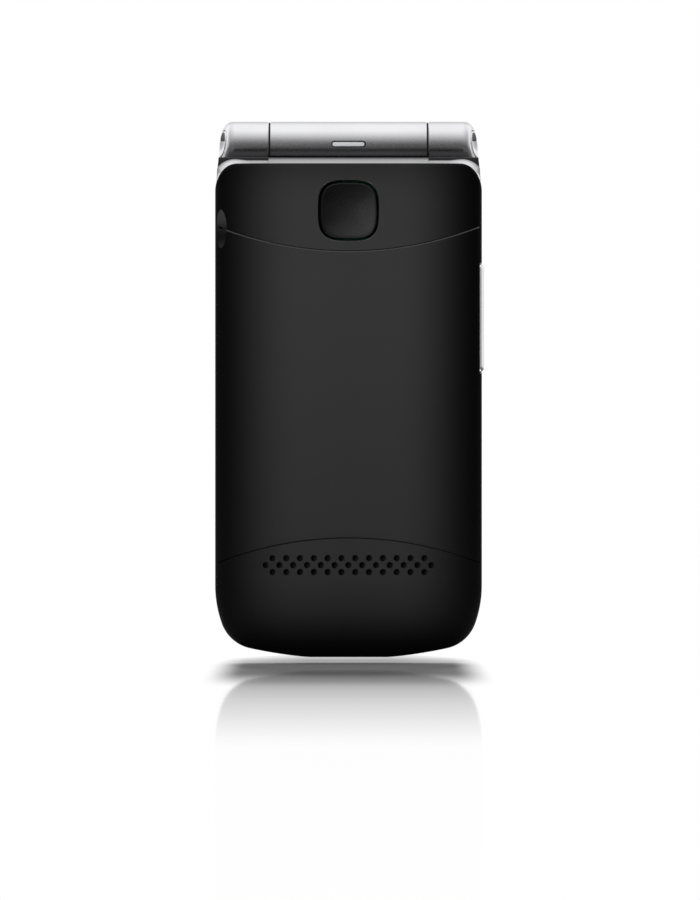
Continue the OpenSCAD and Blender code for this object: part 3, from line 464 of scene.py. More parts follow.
# %% Roll of the back
def fall(u):
    """Superellipse roll: the drop at u, from 0 at its start to 1 at the edge, as a share of its depth."""
    u = np.clip(u, 0.0, 1.0)
    return 1.0 - (1.0 - u**ROLL_N) ** (1.0 / ROLL_N)


def back_at(x):
    """Depth of the back over x."""
    return Y_BACK + ROLL_D * fall((np.abs(x) - FLAT) / SPAN)


def roll_steps(break_drop, before=18, after=9, depth=ROLL_D):
    """Parameters u along a roll, even in its turning angle, with one step exactly at break_drop."""
    angle = np.arccos((1.0 - break_drop / depth) ** (ROLL_N / 2.0))
    turn = np.concatenate([np.linspace(0.0, angle, before), np.linspace(angle, np.pi / 2, after)[1:]])
    return np.sin(turn) ** (2.0 / ROLL_N)


print("half way out the back has dropped", round(float(back_at(FLAT + SPAN / 2) - Y_BACK), 2), "mm")

# %% [markdown]
# The outline is shared by every shell and band of the phone. Given an inset, each arc keeps its centre
# and loses that much of its radius, so that one band can lie evenly inside another.


# %% Outline
def quarter(count):
    """Angles of a quarter turn."""
    return np.radians(np.linspace(0.0, 90.0, count))


def full_turn(count):
    """Angles of a full turn, without its end."""
    return np.linspace(0.0, 2 * np.pi, count, endpoint=False)


def arc(cx, cz, r, start, end, count):
    """Points on a circle from start to end degrees."""
    a = np.radians(np.linspace(start, end, count))
    return np.stack([cx + r * np.cos(a), cz + r * np.sin(a)], -1)


def lower_right(inset=0.0):
    """The outline's right foot, corner and easing, from x = FLAT up to the straight side.

    The corner touches the foot and the easing from inside, so its centre is where two circles cross:
    one of radius FOOT_R - CORNER_R about the foot's centre, one of EASE_R - CORNER_R about the easing's.
    """
    foot_cz, ease_cx = FOOT_R - FOOT_SINK, HALF_W - EASE_R
    reach_foot, reach_ease = FOOT_R - CORNER_R, EASE_R - CORNER_R
    dx, dz = ease_cx, EASE_Z - foot_cz
    apart = np.hypot(dx, dz)
    run = (reach_foot**2 - reach_ease**2 + apart**2) / (2 * apart)
    off = np.sqrt(reach_foot**2 - run**2)
    cx = dx / apart * run - dz / apart * off
    cz = foot_cz + dz / apart * run + dx / apart * off
    foot_turn = np.degrees(np.arctan2(cz - foot_cz, cx))
    ease_turn = np.degrees(np.arctan2(cz - EASE_Z, cx - ease_cx))
    foot_start = -np.degrees(np.arccos(FLAT / (FOOT_R - inset)))
    foot = arc(0.0, foot_cz, FOOT_R - inset, foot_start, foot_turn, 9)
    corner = arc(cx, cz, CORNER_R - inset, foot_turn, ease_turn, 22)
    ease = arc(ease_cx, EASE_Z, EASE_R - inset, ease_turn, 0.0, 15)
    return np.concatenate([foot, corner[1:], ease[1:]])


def foot_points(x, inset=0.0):
    """Points of the foot under x, with its flat standing face."""
    z = np.maximum(FOOT_R - FOOT_SINK - np.sqrt((FOOT_R - inset) ** 2 - x**2), inset)
    return np.stack([x, z], -1)


def at_height(x, z):
    """Points along a line at one height."""
    return np.stack([x, np.full_like(x, z)], -1)


def side_at(z, inset=0.0):
    """Half width of the outline above the easing, with the lean of its shoulder."""
    return HALF_W - inset - np.clip((z - SHOULDER_Z) / SHOULDER_DROP, 0, 1) * SHOULDER_LEAN


print("outline points", len(lower_right()))

# %% [markdown]
# Two shallow arcs part the battery cover from the housing. The lower seam hangs down to the sides, and
# the upper one is the same arc turned over and closed tighter.

# %% Seams
COVER_LOW, COVER_HIGH, SEAM_R, SEAM_GAP, CLOSE_GAP = 23.3, 79.1, 69.0, 0.2, 0.06


def seam_low(x):
    """Lower seam of the battery cover, an arc that hangs down to the sides."""
    return COVER_LOW - SEAM_R + np.sqrt(SEAM_R**2 - x**2)


def seam_high(x):
    """Upper seam, the same arc turned over."""
    return COVER_HIGH + SEAM_R - np.sqrt(SEAM_R**2 - x**2)


print("seam gaps", SEAM_GAP, "and", CLOSE_GAP)

# %% [markdown]
# The skin is one grid with four bands of rows: the chin, the window for the battery cover, the cap above
# it and the top edge, which is rounded over. The cells of the window are left out.

# %% Top of the housing
REAR_CORNER, TOP_EDGE_R = np.array([4.2, 5.5]), 0.9


def rear_top(x):
    """Top outline of the black housing over x, its outward normal and the rounding of its edge there."""
    a, b = REAR_CORNER
    turn = np.arccos(np.clip((np.abs(x) - (HALF_W - a)) / a, 0.0, 1.0))
    nx, nz = np.cos(turn) / a * np.sign(x), np.sin(turn) / b
    size = np.hypot(nx, nz)
    return REAR_TOP - b + b * np.sin(turn), nx / size, nz / size, TOP_EDGE_R * np.sin(turn)


print("top of the housing at", rear_top(0.0)[0], "mm")

# %% Skin of the back
Y_SKIRT, SKIRT_GAP = depth_of("battery_cover", 1), 0.1
# The break of the roll is the last of the first 18 steps.
SKIRT_STEP = 17
u = roll_steps(Y_SKIRT - Y_BACK + SKIRT_GAP)
right_x = FLAT + SPAN * u
flat_x = np.linspace(-FLAT, FLAT, 17)
col_x = np.concatenate([-right_x[::-1], flat_x[1:-1], right_x])
low, high = seam_low(col_x) - SEAM_GAP / 2, seam_high(col_x) + CLOSE_GAP / 2
top_z, nx, nz, edge_r = rear_top(col_x)
chin = EASE_Z + (low - EASE_Z) * np.linspace(0.0, 1.0, 9)[:, None]
window = low + (high - low) * np.linspace(0.0, 1.0, 25)[1:, None]
steps = np.linspace(0.0, 1.0, 17)[1:, None]
cap_x = col_x + (-edge_r * nx) * steps
cap_z = high + (top_z - edge_r * nz - high) * steps
turn = quarter(7)[1:, None]
edge_x = col_x - nx * edge_r * (1 - np.sin(turn))
edge_z = top_z - nz * edge_r * (1 - np.sin(turn))
straight_x = np.broadcast_to(col_x, (len(chin) + len(window), len(col_x)))
grid_x = np.concatenate([straight_x, cap_x, edge_x])
grid_z = np.concatenate([chin, window, cap_z, edge_z])
grid_y = back_at(grid_x)
grid_y[-len(turn):] += edge_r * (1 - np.cos(turn))
grid = np.stack([grid_x, grid_y, grid_z], -1)
print("rows of chin, window, cap and edge:", len(chin), len(window), len(steps), len(turn))

# %% Window in the skin
rows, cols = grid_x.shape
cells = quads(rows, cols)
cell_row, cell_col = cells[:, 0] // cols, cells[:, 0] % cols
in_window = np.abs(col_x) < FLAT + SPAN * u[SKIRT_STEP] + 0.001
window_start = len(chin) - 1
is_open = (cell_row >= window_start) & (cell_row < window_start + len(window))
is_open &= in_window[cell_col] & in_window[cell_col + 1]
skin = (grid.reshape(-1, 3), cells[~is_open].tolist())
print(f"skin of {rows} x {cols} points, window from {low.min():.2f} to {high.max():.2f}")

# %% [markdown]
# Below the chin the roll turns round the foot: lines run from a hub line to the outline, each with the
# same roll. A wall then runs from the rim of the skin to the parting line.

# %% Foot and wall of the back
corner = lower_right()[::-1]
foot_x = flat_x[::-1][1:-1]
edge_line = np.concatenate([corner, foot_points(foot_x), corner[::-1] * MIRROR])
right_hub = np.tile([FLAT, EASE_Z], (len(corner), 1))
hub = np.concatenate([right_hub, at_height(foot_x, EASE_Z), right_hub * MIRROR])
fan = hub[:, None] + u[None, :, None] * (edge_line - hub)[:, None]
foot_roll = patch(fan[..., 0], Y_BACK + ROLL_D * fall(u)[None, :], fan[..., 1], flip=True)
foot_y = np.full(len(edge_line), Y_BACK + ROLL_D)
foot_rim = np.stack([edge_line[::-1, 0], foot_y, edge_line[::-1, 1]], -1)
rim = np.concatenate([grid[:, -1], grid[-1, ::-1][1:], grid[::-1, 0][1:], foot_rim[1:-1]])
down = np.linspace(0.0, 1.0, 4)[:, None]
wall = patch(rim[:, 0], rim[:, 1] + (Y_PART - rim[:, 1]) * down, rim[:, 2], loop_cols=True, flip=True)
print("rim of", len(rim), "points")

# %% [markdown]
# The openings in the back are moulded with slightly flared rims, which is what catches the light round
# them. Each cutter is a ring of outlines that widens where it meets the skin: a superellipse for the help
# button, small circles for the sound holes, and a ball for the thumbnail notch that spans the housing and
# the battery cover.


# %% Flared cutters
def rounded_square(half, count=96, power=3.3):
    """A square with bulged sides, |x|^p + |z|^p = half^p."""
    a = full_turn(count)
    c, s = np.cos(a), np.sin(a)
    return half * np.sign(c) * np.abs(c) ** (2 / power), half * np.sign(s) * np.abs(s) ** (2 / power)


def round_hole(cx, cz, r, count=20):
    """A circle's outline, grown by a step."""
    a = full_turn(count)
    return lambda grow: (cx + (r + grow) * np.cos(a), cz + (r + grow) * np.sin(a))


def rounded_rect(w, h, r, cx=0.0, cz=0.0, count=8):
    """Outline of a rectangle with round corners, grown evenly by a step."""
    def at(grow=0.0):
        rr = max(r + grow, 0.01)
        hx, hz = w / 2 + grow - rr, h / 2 + grow - rr
        q = quarter(count)
        turn = np.concatenate([q, q + np.pi / 2, q + np.pi, q + 1.5 * np.pi])
        sx = np.repeat([1, -1, -1, 1], count)
        sz = np.repeat([1, 1, -1, -1], count)
        return cx + sx * hx + rr * np.cos(turn), cz + sz * hz + rr * np.sin(turn)
    return at


def flared(outline_of, steps, start=0.0):
    """A closed form: outlines grown by each step's first value, at the depth of its second from start."""
    rings = [outline_of(grow) for grow, _ in steps]
    x = np.stack([ring[0] for ring in rings])
    z = np.stack([ring[1] for ring in rings])
    return capped(x, np.array([start + depth for _, depth in steps])[:, None], z)


print("a round hole has", len(round_hole(0.0, 0.0, 1.0)(0.0)[0]), "points")

# %% Openings of the back
SOS_Z, SOS_HALF, SOS_GROOVE = 86.9, 5.475, 0.4
HOLE_Z, HOLE_R, HOLE_PITCH, ROW_PITCH, HOLES_MID = 18.0, 0.6, 2.68, 1.35, 13
RIM_STEPS = [(0.14, -1), (0.14, 0), (0.05, 0.07), (0.0, 0.2), (0.0, 4)]
HOLE_STEPS = [(0.1, -1), (0.1, 0), (0.02, 0.05), (0.0, 0.15), (0.0, 4)]
NOTCH_R, NOTCH_AT = 30.0, (-45.55, -28.18, 83.4)


def sos_outline(grow):
    """The help button's opening."""
    x, z = rounded_square(SOS_HALF + SOS_GROOVE + grow)
    return x, z + SOS_Z


def row_of(count):
    """Centres of a row of sound holes about the middle."""
    return (np.arange(count) - (count - 1) / 2) * HOLE_PITCH


def ball(cx, cy, cz, r, count=64):
    """A sphere from two angles."""
    turn = full_turn(2 * count)[None, :]
    tilt = np.linspace(-np.pi / 2, np.pi / 2, count)[:, None]
    x = cx + r * np.cos(tilt) * np.cos(turn)
    z = cz + r * np.cos(tilt) * np.sin(turn)
    return [patch(x, cy + r * np.sin(tilt), z, loop_cols=True)]


sos_cut = cutter("sos_cut", flared(sos_outline, RIM_STEPS, Y_BACK), RIM)
hole_x = np.concatenate([row_of(HOLES_MID), np.tile(row_of(HOLES_MID - 1), 2)])
hole_z = HOLE_Z + np.repeat([0.0, ROW_PITCH, -ROW_PITCH], [HOLES_MID, HOLES_MID - 1, HOLES_MID - 1])
holes = []
for x, z in zip(hole_x, hole_z):
    holes += flared(round_hole(x, z, HOLE_R), HOLE_STEPS, Y_BACK)
hole_cut = cutter("hole_cut", holes)
notch_cut = cutter("notch_cut", ball(*NOTCH_AT, NOTCH_R), SCOOP)
print(len(hole_x), "sound holes of", 2 * HOLE_R, "mm")

# %% [markdown]
# The housing is the skin with a wall of even thickness, cut by the openings. The rocker's opening lies
# across the parting line, so the same box cuts the housing and the silver frame.

# %% Housing
ROCKER_Z, ROCKER_Y = 66.1, Y_PART - 0.65
ROCKER_HALF, ROCKER_W, ROCKER_GAP = 10.65, 4.4, 0.15


def block(low_corner, high_corner):
    """A plain box."""
    ax, ay, az = low_corner
    bx, by, bz = high_corner
    return capped(np.array([ax, bx, bx, ax]), np.array([ay, by])[:, None], np.array([az, az, bz, bz]))


rocker_cut = cutter("rocker_cut", block(
    (HALF_W - 3, ROCKER_Y - ROCKER_W / 2 - ROCKER_GAP, ROCKER_Z - ROCKER_HALF - ROCKER_GAP),
    (HALF_W + 2, ROCKER_Y + ROCKER_W / 2 + ROCKER_GAP, ROCKER_Z + ROCKER_HALF + ROCKER_GAP)))
build("rear_shell", [skin, foot_roll, wall], "base", BLACK_BACK, ["rear_housing"], "black_shell",
      outward=False, wall=1.2, cuts=[sos_cut, hole_cut, notch_cut, rocker_cut])

# %% [markdown]
# ## The battery cover
#
# The cover carries the same section between the two seams, and ends on the sides where the roll has
# dropped to the skirt line. It is a sheet with a wall and slightly rounded edges. Its upper edge is
# rounded over more and has a glossier finish of its own, painted darker towards the sides as shade.

# %% Battery cover
COVER_STEPS, COVER_ROWS, EDGE_R = 20, 40, 0.3
u = roll_steps(Y_SKIRT - Y_BACK, before=COVER_STEPS, after=2)[:COVER_STEPS]
right_x = FLAT + SPAN * u
cover_x = np.concatenate([-right_x[::-1], flat_x[1:-1], right_x])
cover_low, cover_high = seam_low(cover_x) + SEAM_GAP / 2, seam_high(cover_x) - CLOSE_GAP / 2
edge_turn = np.radians(np.linspace(0.0, 80.0, 6))[:, None]
up = np.linspace(0.0, 1.0, COVER_ROWS + 1)[:-1, None]
flat_rows = cover_low + (cover_high - EDGE_R - cover_low) * up
cover_z = np.concatenate([flat_rows, cover_high - EDGE_R * (1 - np.sin(edge_turn))])
edge_drop = np.concatenate([np.zeros((COVER_ROWS, 1)), EDGE_R * (1 - np.cos(edge_turn))])
cover = make_object("cover_shell", [patch(cover_x, back_at(cover_x) + edge_drop, cover_z)], outward=False)
cover.data.materials.append(BLACK_BACK)
cover.data.materials.append(RIM)
middles = np.empty(3 * len(cover.data.polygons))
cover.data.polygons.foreach_get("center", middles)
middles = middles.reshape(-1, 3) / MM
on_edge = middles[:, 2] > seam_high(middles[:, 0]) - CLOSE_GAP / 2 - EDGE_R
cover.data.polygons.foreach_set("material_index", on_edge.astype(np.int32))
settle(cover, wall=0.95, cuts=[notch_cut], edge=0.1)
dress(cover, "battery_cover", ["battery_cover"])

# %% [markdown]
# ## The help button
#
# A rounded square set into a groove, dished so that a thumb finds it. Rings of the same superellipse
# carry the dish, the small rounded rim and the side wall.

# %% Help button
SOS_FACE, SOS_DISH, SOS_ROUND, SOS_WALL = Y_BACK + 0.08, 0.85, 0.4, 1.6
DISH_END, RIM_SHARE = 0.93, 0.07
dish_s = np.linspace(0.0, DISH_END, 16)
rim_turn = quarter(7)[1:]
ring_s = np.concatenate([dish_s, DISH_END + RIM_SHARE * np.sin(rim_turn), [1.0]])[:, None]
dish_y = SOS_FACE + SOS_DISH * (1 - (dish_s / DISH_END) ** 2)
rim_y = SOS_FACE + SOS_ROUND * (1 - np.cos(rim_turn))
ring_y = np.concatenate([dish_y, rim_y, [SOS_FACE + SOS_WALL]])[:, None]
square_x, square_z = rounded_square(SOS_HALF)
build("sos_cap", domed(ring_s * square_x, ring_y, SOS_Z + ring_s * square_z), "sos_button", BUTTON,
      ["sos_button"], "black_shell", smooth=40)

# %% [markdown]
# ## The silver frame
#
# Behind the keypad runs a painted silver ring. It is one small profile, rounded on both outer edges,
# carried along the outline from shoulder to shoulder.


# %% Silver ring
def open_outline(inset, top):
    """Outline from the left shoulder down round the foot to the right shoulder, set in by inset."""
    side_z = np.array([30.0, 60.0, SHOULDER_Z, top])
    half = np.concatenate([lower_right(inset), np.stack([side_at(side_z, inset), side_z], -1)])
    return np.concatenate([half[::-1] * MIRROR, foot_points(flat_x[1:-1], inset), half])


def band(y_low, y_high, outline_at, round_r=0.35):
    """A small profile of insets and depths carried along an open outline, with its two end faces."""
    a = quarter(5)
    front = np.stack([round_r * (1 - np.sin(a)), y_high - round_r * (1 - np.cos(a))], -1)
    back = np.stack([round_r * (1 - np.cos(a)), y_low + round_r * (1 - np.sin(a))], -1)
    profile = np.concatenate([[[FRAME_WALL, y_high]], front, back, [[FRAME_WALL, y_low]]])
    lines = np.stack([outline_at(inset) for inset, _ in profile])
    return capped(lines[..., 0], profile[:, 1][:, None], lines[..., 1], by_rows=True)


DECK_Z = 94.5
BASE_SILVER = ("base", SILVER, ["base_frame"], "silver_paint")
ring = band(Y_PART, Y_FRONT, lambda inset: open_outline(inset, DECK_Z))
build("frame_ring", ring, *BASE_SILVER, cuts=[rocker_cut])

# %% [markdown]
# A dark deck closes the ring at the top. It is the bed of the hinge, hollowed under the barrel so that
# the lid can turn, and plain under the ears.

# %% Deck and trough
BARREL_R, EAR_IN = 4.3, 15.6
TROUGH_R, TROUGH_TIP, DECK_EDGE = BARREL_R + 0.35, 0.033, 0.2


def about_hinge(r, turn):
    """Points in Y and Z at a radius and an angle about the hinge axis."""
    return np.stack([Y_HINGE + r * np.cos(turn), Z_HINGE + r * np.sin(turn)], -1)


rim_turn = quarter(5)
deck_edge = np.stack([
    Y_PART + DECK_EDGE * (1 - np.sin(rim_turn)), FRAME_TOP - DECK_EDGE * (1 - np.cos(rim_turn))], -1)
trough_end = -np.pi / 2 - np.arccos((Z_HINGE - FRAME_TOP) / TROUGH_R)
trough = about_hinge(TROUGH_R, np.linspace(-np.pi / 2 - TROUGH_TIP, trough_end, 14))
plain_top = at_height(np.linspace(Y_FRONT, trough[-1, 0], 14), FRAME_TOP)
foot_edges = np.array([[Y_PART, DECK_Z], [Y_FRONT, DECK_Z]])
hollow = np.concatenate([trough, deck_edge, foot_edges])
plain = np.concatenate([plain_top, deck_edge, foot_edges])
sections = np.stack([plain, plain, hollow, hollow, plain, plain])
end_x = side_at(sections[0, :, 1])
station = np.stack([-end_x, *[np.full_like(end_x, s * EAR_IN) for s in (-1, -1, 1, 1)], end_x])
build("frame_deck", capped(station, sections[..., 0], sections[..., 1]), "base", DECK,
      ["base_frame"], "silver_paint", edge=0.12)

# %% [markdown]
# A bright lip frames the top of the black housing. It is a cove, hollow like a picture moulding, that
# starts on the housing's outline facing up and ends on the frame facing back. Its width is the room that
# the outline leaves, up to a limit. Its colour is painted brightest at the shoulders and darker over the
# middle: painted light and shade.

# %% Painted light on the lip
LIP, tree, shader = blank_finish("lip_silver_painted_light", (0.5, 0.5, 0.5), 0.36, 1.0)
# Painted light and shade: lighter at the shoulders, darker over the middle.
lip_painted_light = along(tree, "X", [(0, 0.0), (19, 0.0), (22.5, 0.7), (24, 1.0), (26, 1.0)], True)
tree.links.new(two_tones(lip_painted_light, (0.5, 0.5, 0.51), (0.95, 0.95, 0.97)), shader.inputs["Base Color"])
tree.links.new(uneven(noise(tree, 9000.0), 0.32, 0.42), shader.inputs["Roughness"])
print(LIP.name, len(tree.nodes), "nodes")

# %% Lip
LIP_DEEP, LIP_CURVE, LIP_UNDER_BARREL, LIP_GAP, LIP_UNDER_TOP = 0.7, 1.7, 1.2, 0.02, 0.12
a, b = REAR_CORNER
turn = quarter(40)
bend = np.stack([HALF_W - a + a * np.cos(turn), REAR_TOP - b + b * np.sin(turn)], -1)
bend_n = np.stack([np.cos(turn) / a, np.sin(turn) / b], -1)
bend_n = bend_n / np.linalg.norm(bend_n, axis=1)[:, None]
over_ear, over_barrel = np.linspace(HALF_W - a, EAR_IN + 0.05, 4)[1:], np.linspace(EAR_IN - 0.05, 0.0, 4)
top_x = np.concatenate([over_ear, over_barrel, -over_barrel[-2::-1], -over_ear[::-1]])
line_x, line_z = np.concatenate([bend, at_height(top_x, REAR_TOP), bend[::-1] * MIRROR]).T
out_x, out_z = np.concatenate([bend_n, np.tile([0.0, 1.0], (len(top_x), 1)), bend_n[::-1] * MIRROR]).T
to_side = (side_at(line_z) - np.abs(line_x)) / np.maximum(np.abs(out_x), 0.001)
to_top = (FRAME_TOP - LIP_UNDER_TOP - line_z) / np.maximum(out_z, 0.001)
under_ear = np.interp(np.abs(line_x), [20.0, 24.0], [0.78, 1.25])
limit = np.where(np.abs(line_x) < EAR_IN, LIP_UNDER_BARREL, under_ear)
width = np.clip(np.minimum(to_side, to_top) - LIP_GAP, 0.0, limit)
share = np.linspace(0.0, 1.0, 9)[:, None]
reach = width * share
lip_x, lip_z = line_x + out_x * reach, line_z + out_z * reach
cove = patch(lip_x, Y_PART - LIP_DEEP * (1 - share) ** LIP_CURVE, lip_z)
seat = patch(lip_x[[-1, 0]], Y_PART, lip_z[[-1, 0]])
step = patch(line_x, np.array([Y_PART, Y_PART - LIP_DEEP])[:, None], line_z)
build("frame_lip", [cove, seat, step], "base", LIP, ["base_frame"], "silver_paint", smooth=50)

# %% [markdown]
# ## Ears, barrel and caps
#
# The hinge is the bright crown of the phone. Two ears belong to the base and a barrel between them
# belongs to the lid. The ears are turned shapes, but their ends are cut slantwise and rounded over, so
# the end plane is added to the lathe formula: each point's X follows the plane at that point's height and
# depth.

# %% Ears
EAR_END, TOE, LEAN = 24.65, np.radians(13.0), np.radians(6.0)
RIM_R, CAP_R, SEAT_DEEP = 1.6, 2.55, 1.4
END_N = np.array([np.cos(LEAN) * np.cos(TOE), -np.cos(LEAN) * np.sin(TOE), np.sin(LEAN)])


def end_plane(y, z):
    """X of the slanted end at a point this far from the hinge axis."""
    return EAR_END - (END_N[1] * y + END_N[2] * z) / END_N[0]


def lathe(r, out, slanted=True, count=128):
    """Rings of radii r about the hinge axis. Their X is out, counted from the end plane if slanted."""
    a = full_turn(count)
    r, out = np.asarray(r)[:, None], np.asarray(out)[:, None]
    y, z = r * np.sin(a), r * np.cos(a)
    x = out + (end_plane(y, z) if slanted else 0.0 * y)
    return x, y + Y_HINGE, z + Z_HINGE


rim_turn = quarter(13)
seat_r = CAP_R + np.array([0.55, 0.45, 0.45, -CAP_R])
out_r = np.concatenate([BARREL_R - RIM_R * (1 - np.cos(rim_turn)), seat_r])
out_back = np.concatenate([RIM_R * (1 - np.sin(rim_turn)), [0.0, 0.12, SEAT_DEEP, SEAT_DEEP]])
inner = lathe([0.0, BARREL_R - 0.2, BARREL_R], EAR_IN + np.array([0.0, 0.0, 0.2]), slanted=False)
ear_x, ear_y, ear_z = [np.concatenate(ends) for ends in zip(inner, lathe(out_r, -out_back))]
for name, side in SIDES:
    ear = patch(side * ear_x, ear_y, ear_z, loop_cols=True)
    build(f"hinge_ear_{name}", [ear], *BASE_SILVER, smooth=40)

# %% [markdown]
# Each ear's end takes a round chrome inlay. It is dished inside a bright rim, and the same lathe turns
# it.

# %% Chrome caps
dome_s = np.linspace(0.0, 1.0, 14)
cap_r = np.concatenate([CAP_R * dome_s * 0.9, [CAP_R * 0.95, CAP_R * 0.985, CAP_R, CAP_R]])
cap_out = np.concatenate([0.1 - 1.1 * (1 - dome_s**2), [0.12, 0.06, -0.08, -1.25]])
cap_x, cap_y, cap_z = lathe(cap_r, cap_out)
for name, side in SIDES:
    build(f"chrome_cap_{name}", domed(side * cap_x, cap_y, cap_z), "base", CHROME, [f"hinge_cap_{name}"],
          "chrome", smooth=40)

# %% [markdown]
# Rubber closes the small gaps of the hinge: a gasket round each inlay, and a washer in each split line
# between ear and barrel. Both are dark, so they read as the shadow of the gap.

# %% Gaskets and washers
BARREL_HALF, WASHER_R, WASHER_GAP = 15.35, BARREL_R - 0.18, 0.015
gasket = lathe(CAP_R + np.array([0.02, 0.02, 0.42, 0.42]), [-1.2, -0.1, -0.1, -1.2])
for name, side in SIDES:
    ring = patch(side * gasket[0], *gasket[1:], loop_rows=True, loop_cols=True)
    build(f"cap_gasket_{name}", [ring], "base", RUBBER)
washer_r = np.array([0.0, BARREL_R - 0.25, WASHER_R, WASHER_R, BARREL_R - 0.25, 0.0])
washer_x = np.array([0.0, 0.0, 0.05, 0.17, 0.22, 0.22]) + BARREL_HALF + WASHER_GAP
washer = lathe(washer_r, washer_x, slanted=False, count=96)
for name, side in SIDES:
    disc = patch(side * washer[0], *washer[1:], loop_cols=True)
    build(f"hinge_washer_{name}", [disc], "base", RUBBER)

# %% [markdown]
# The barrel is one closed section in Y and Z, most of a circle and the tongue by which the lid hangs from
# it, carried along X with its ends eased in. A narrow slot takes the milky light bar.

# %% Barrel and light bar
TONGUE_OUT, TONGUE_Z = Y_LID_IN + 3.3, LID_TOP - FRAME_WALL
BAR_W, BAR_H, BAR_R, BAR_SINK = 6.5, 1.1, 0.5, 0.25
SLOT_STEPS = [(0.14, -1), (0.14, 0), (0.02, 0.2), (0.0, 1)]
LIGHT_STEPS = [(-0.3, 0.12), (-0.16, 0.16), (-0.1, 0.28), (-0.1, 0.9)]
END_STEPS = np.array([0.0, 0.08, 0.3])


def meets(y):
    """Angle at which the barrel's circle crosses a depth on its lower side."""
    return np.arctan2(-np.sqrt(BARREL_R**2 - (y - Y_HINGE) ** 2), y - Y_HINGE)


turn = np.linspace(meets(Y_LID_IN), meets(TONGUE_OUT) - 2 * np.pi, 90)
section = np.concatenate([
    np.stack([BARREL_R * np.cos(turn), BARREL_R * np.sin(turn)], -1),
    [[TONGUE_OUT - Y_HINGE, TONGUE_Z - Z_HINGE], [Y_LID_IN - Y_HINGE, TONGUE_Z - Z_HINGE]],
])
barrel_x = np.concatenate([END_STEPS - BARREL_HALF, [0.0], BARREL_HALF - END_STEPS[::-1]])[:, None]
shrink = np.array([0.94, 0.985, 1, 1, 1, 0.985, 0.94])[:, None]
barrel_y, barrel_z = section[:, 0] * shrink + Y_HINGE, section[:, 1] * shrink + Z_HINGE
Y_BAR = Y_HINGE - BARREL_R
light_line = rounded_rect(BAR_W, BAR_H, BAR_R, 0.0, Z_HINGE - BAR_SINK)
bar_cut = cutter("bar_cut", flared(light_line, SLOT_STEPS, Y_BAR), RUBBER)
LID_SILVER = ("lid", SILVER, ["flip_frame"], "silver_paint")
build("hinge_barrel", capped(barrel_x, barrel_y, barrel_z), *LID_SILVER, cuts=[bar_cut], smooth=40)
build("light_bar", flared(light_line, LIGHT_STEPS, Y_BAR), "lid", MILKY, ["indicator_light"],
      "light_pipe", smooth=50)

# %% [markdown]
# ## The volume rocker
#
# A slim straight bar in the right side, crowned across and eased at both ends, painted like the frame.
# Its section is carried along Z, and towards the ends it gets narrower and sinks in.

# %% Volume rocker
ROCKER_PROUD, END_SINK, END_START, END_RUN = 0.44, 0.75, 0.92, 0.08
CROWN_DROP, CROWN_EDGE, ROCKER_ROOT = 0.62, 0.2, -2.4
run = np.linspace(-1.0, 1.0, 61)[:, None]
to_end = np.clip((np.abs(run) - END_START) / END_RUN, 0, 1)
proud = ROCKER_PROUD - END_SINK * to_end**2
half_w = ROCKER_W / 2 * (0.78 + 0.22 * np.sqrt(1 - to_end**2))
crown = np.linspace(-1.0, 1.0, 17)
across = np.concatenate([[-1.0], crown, [1.0]])
drop = np.concatenate([[ROCKER_ROOT], -CROWN_DROP * crown**2 - CROWN_EDGE * crown**16, [ROCKER_ROOT]])
rocker_x = HALF_W + proud * (drop > ROCKER_ROOT) + drop
build("rocker_bar", capped(rocker_x, ROCKER_Y + half_w * across, ROCKER_Z + ROCKER_HALF * run),
      "volume_rocker", SILVER, ["volume_rocker"], "silver_paint", smooth=35)

# %% [markdown]
# ## The lid
#
# The lid repeats the base: a silver band, and a black shell that rolls over gently on all four sides. The
# band runs round the outline, a straight bar closes it at the head, and small fillets fill the two upper
# corners.

# %% Lid band
LID_INSET, LID_DEPTH, LID_FOOT, LID_HEAD = 0.15, 3.0, 9.0, 4.0
HEAD_EDGE, FILLET_IN, FILLET_LONG, FILLET_DEEP = 0.3, 1.1, 3.6, 0.9
ring = band(Y_LID_IN, Y_LID_PART, lambda inset: open_outline(inset + LID_INSET, LID_TOP - inset))
build("lid_band", ring, *LID_SILVER)
head_z = LID_TOP - np.array([FRAME_WALL, HEAD_EDGE, 0.0, 0.0, HEAD_EDGE, FRAME_WALL])[:, None]
head_y = np.array([
    Y_LID_IN, Y_LID_IN, Y_LID_IN + HEAD_EDGE, Y_LID_PART - HEAD_EDGE, Y_LID_PART, Y_LID_PART])[:, None]
head_x = np.array([-1.0, 1.0]) * (side_at(head_z) - LID_INSET - HEAD_EDGE)
build("lid_head", capped(head_x, head_y, head_z, by_rows=True), *LID_SILVER)
fillet_x = side_at(LID_TOP) - LID_INSET - np.array([FILLET_IN, FILLET_LONG, FILLET_IN])
fillet_z = LID_TOP - np.array([FILLET_IN, FILLET_IN, FILLET_LONG])
fillet_y = np.array([Y_LID_PART, Y_LID_PART - FILLET_DEEP])[:, None]
for name, side in SIDES:
    build(f"lid_corner_{name}", capped(side * fillet_x, fillet_y, fillet_z), "lid", SILVER)

# %% [markdown]
# The spine of the lid's shell is a flat rectangle. Lines run from the spine to the outline, and the drop
# along each line is the same superellipse roll as on the back. At the head the outline itself is a
# superellipse.

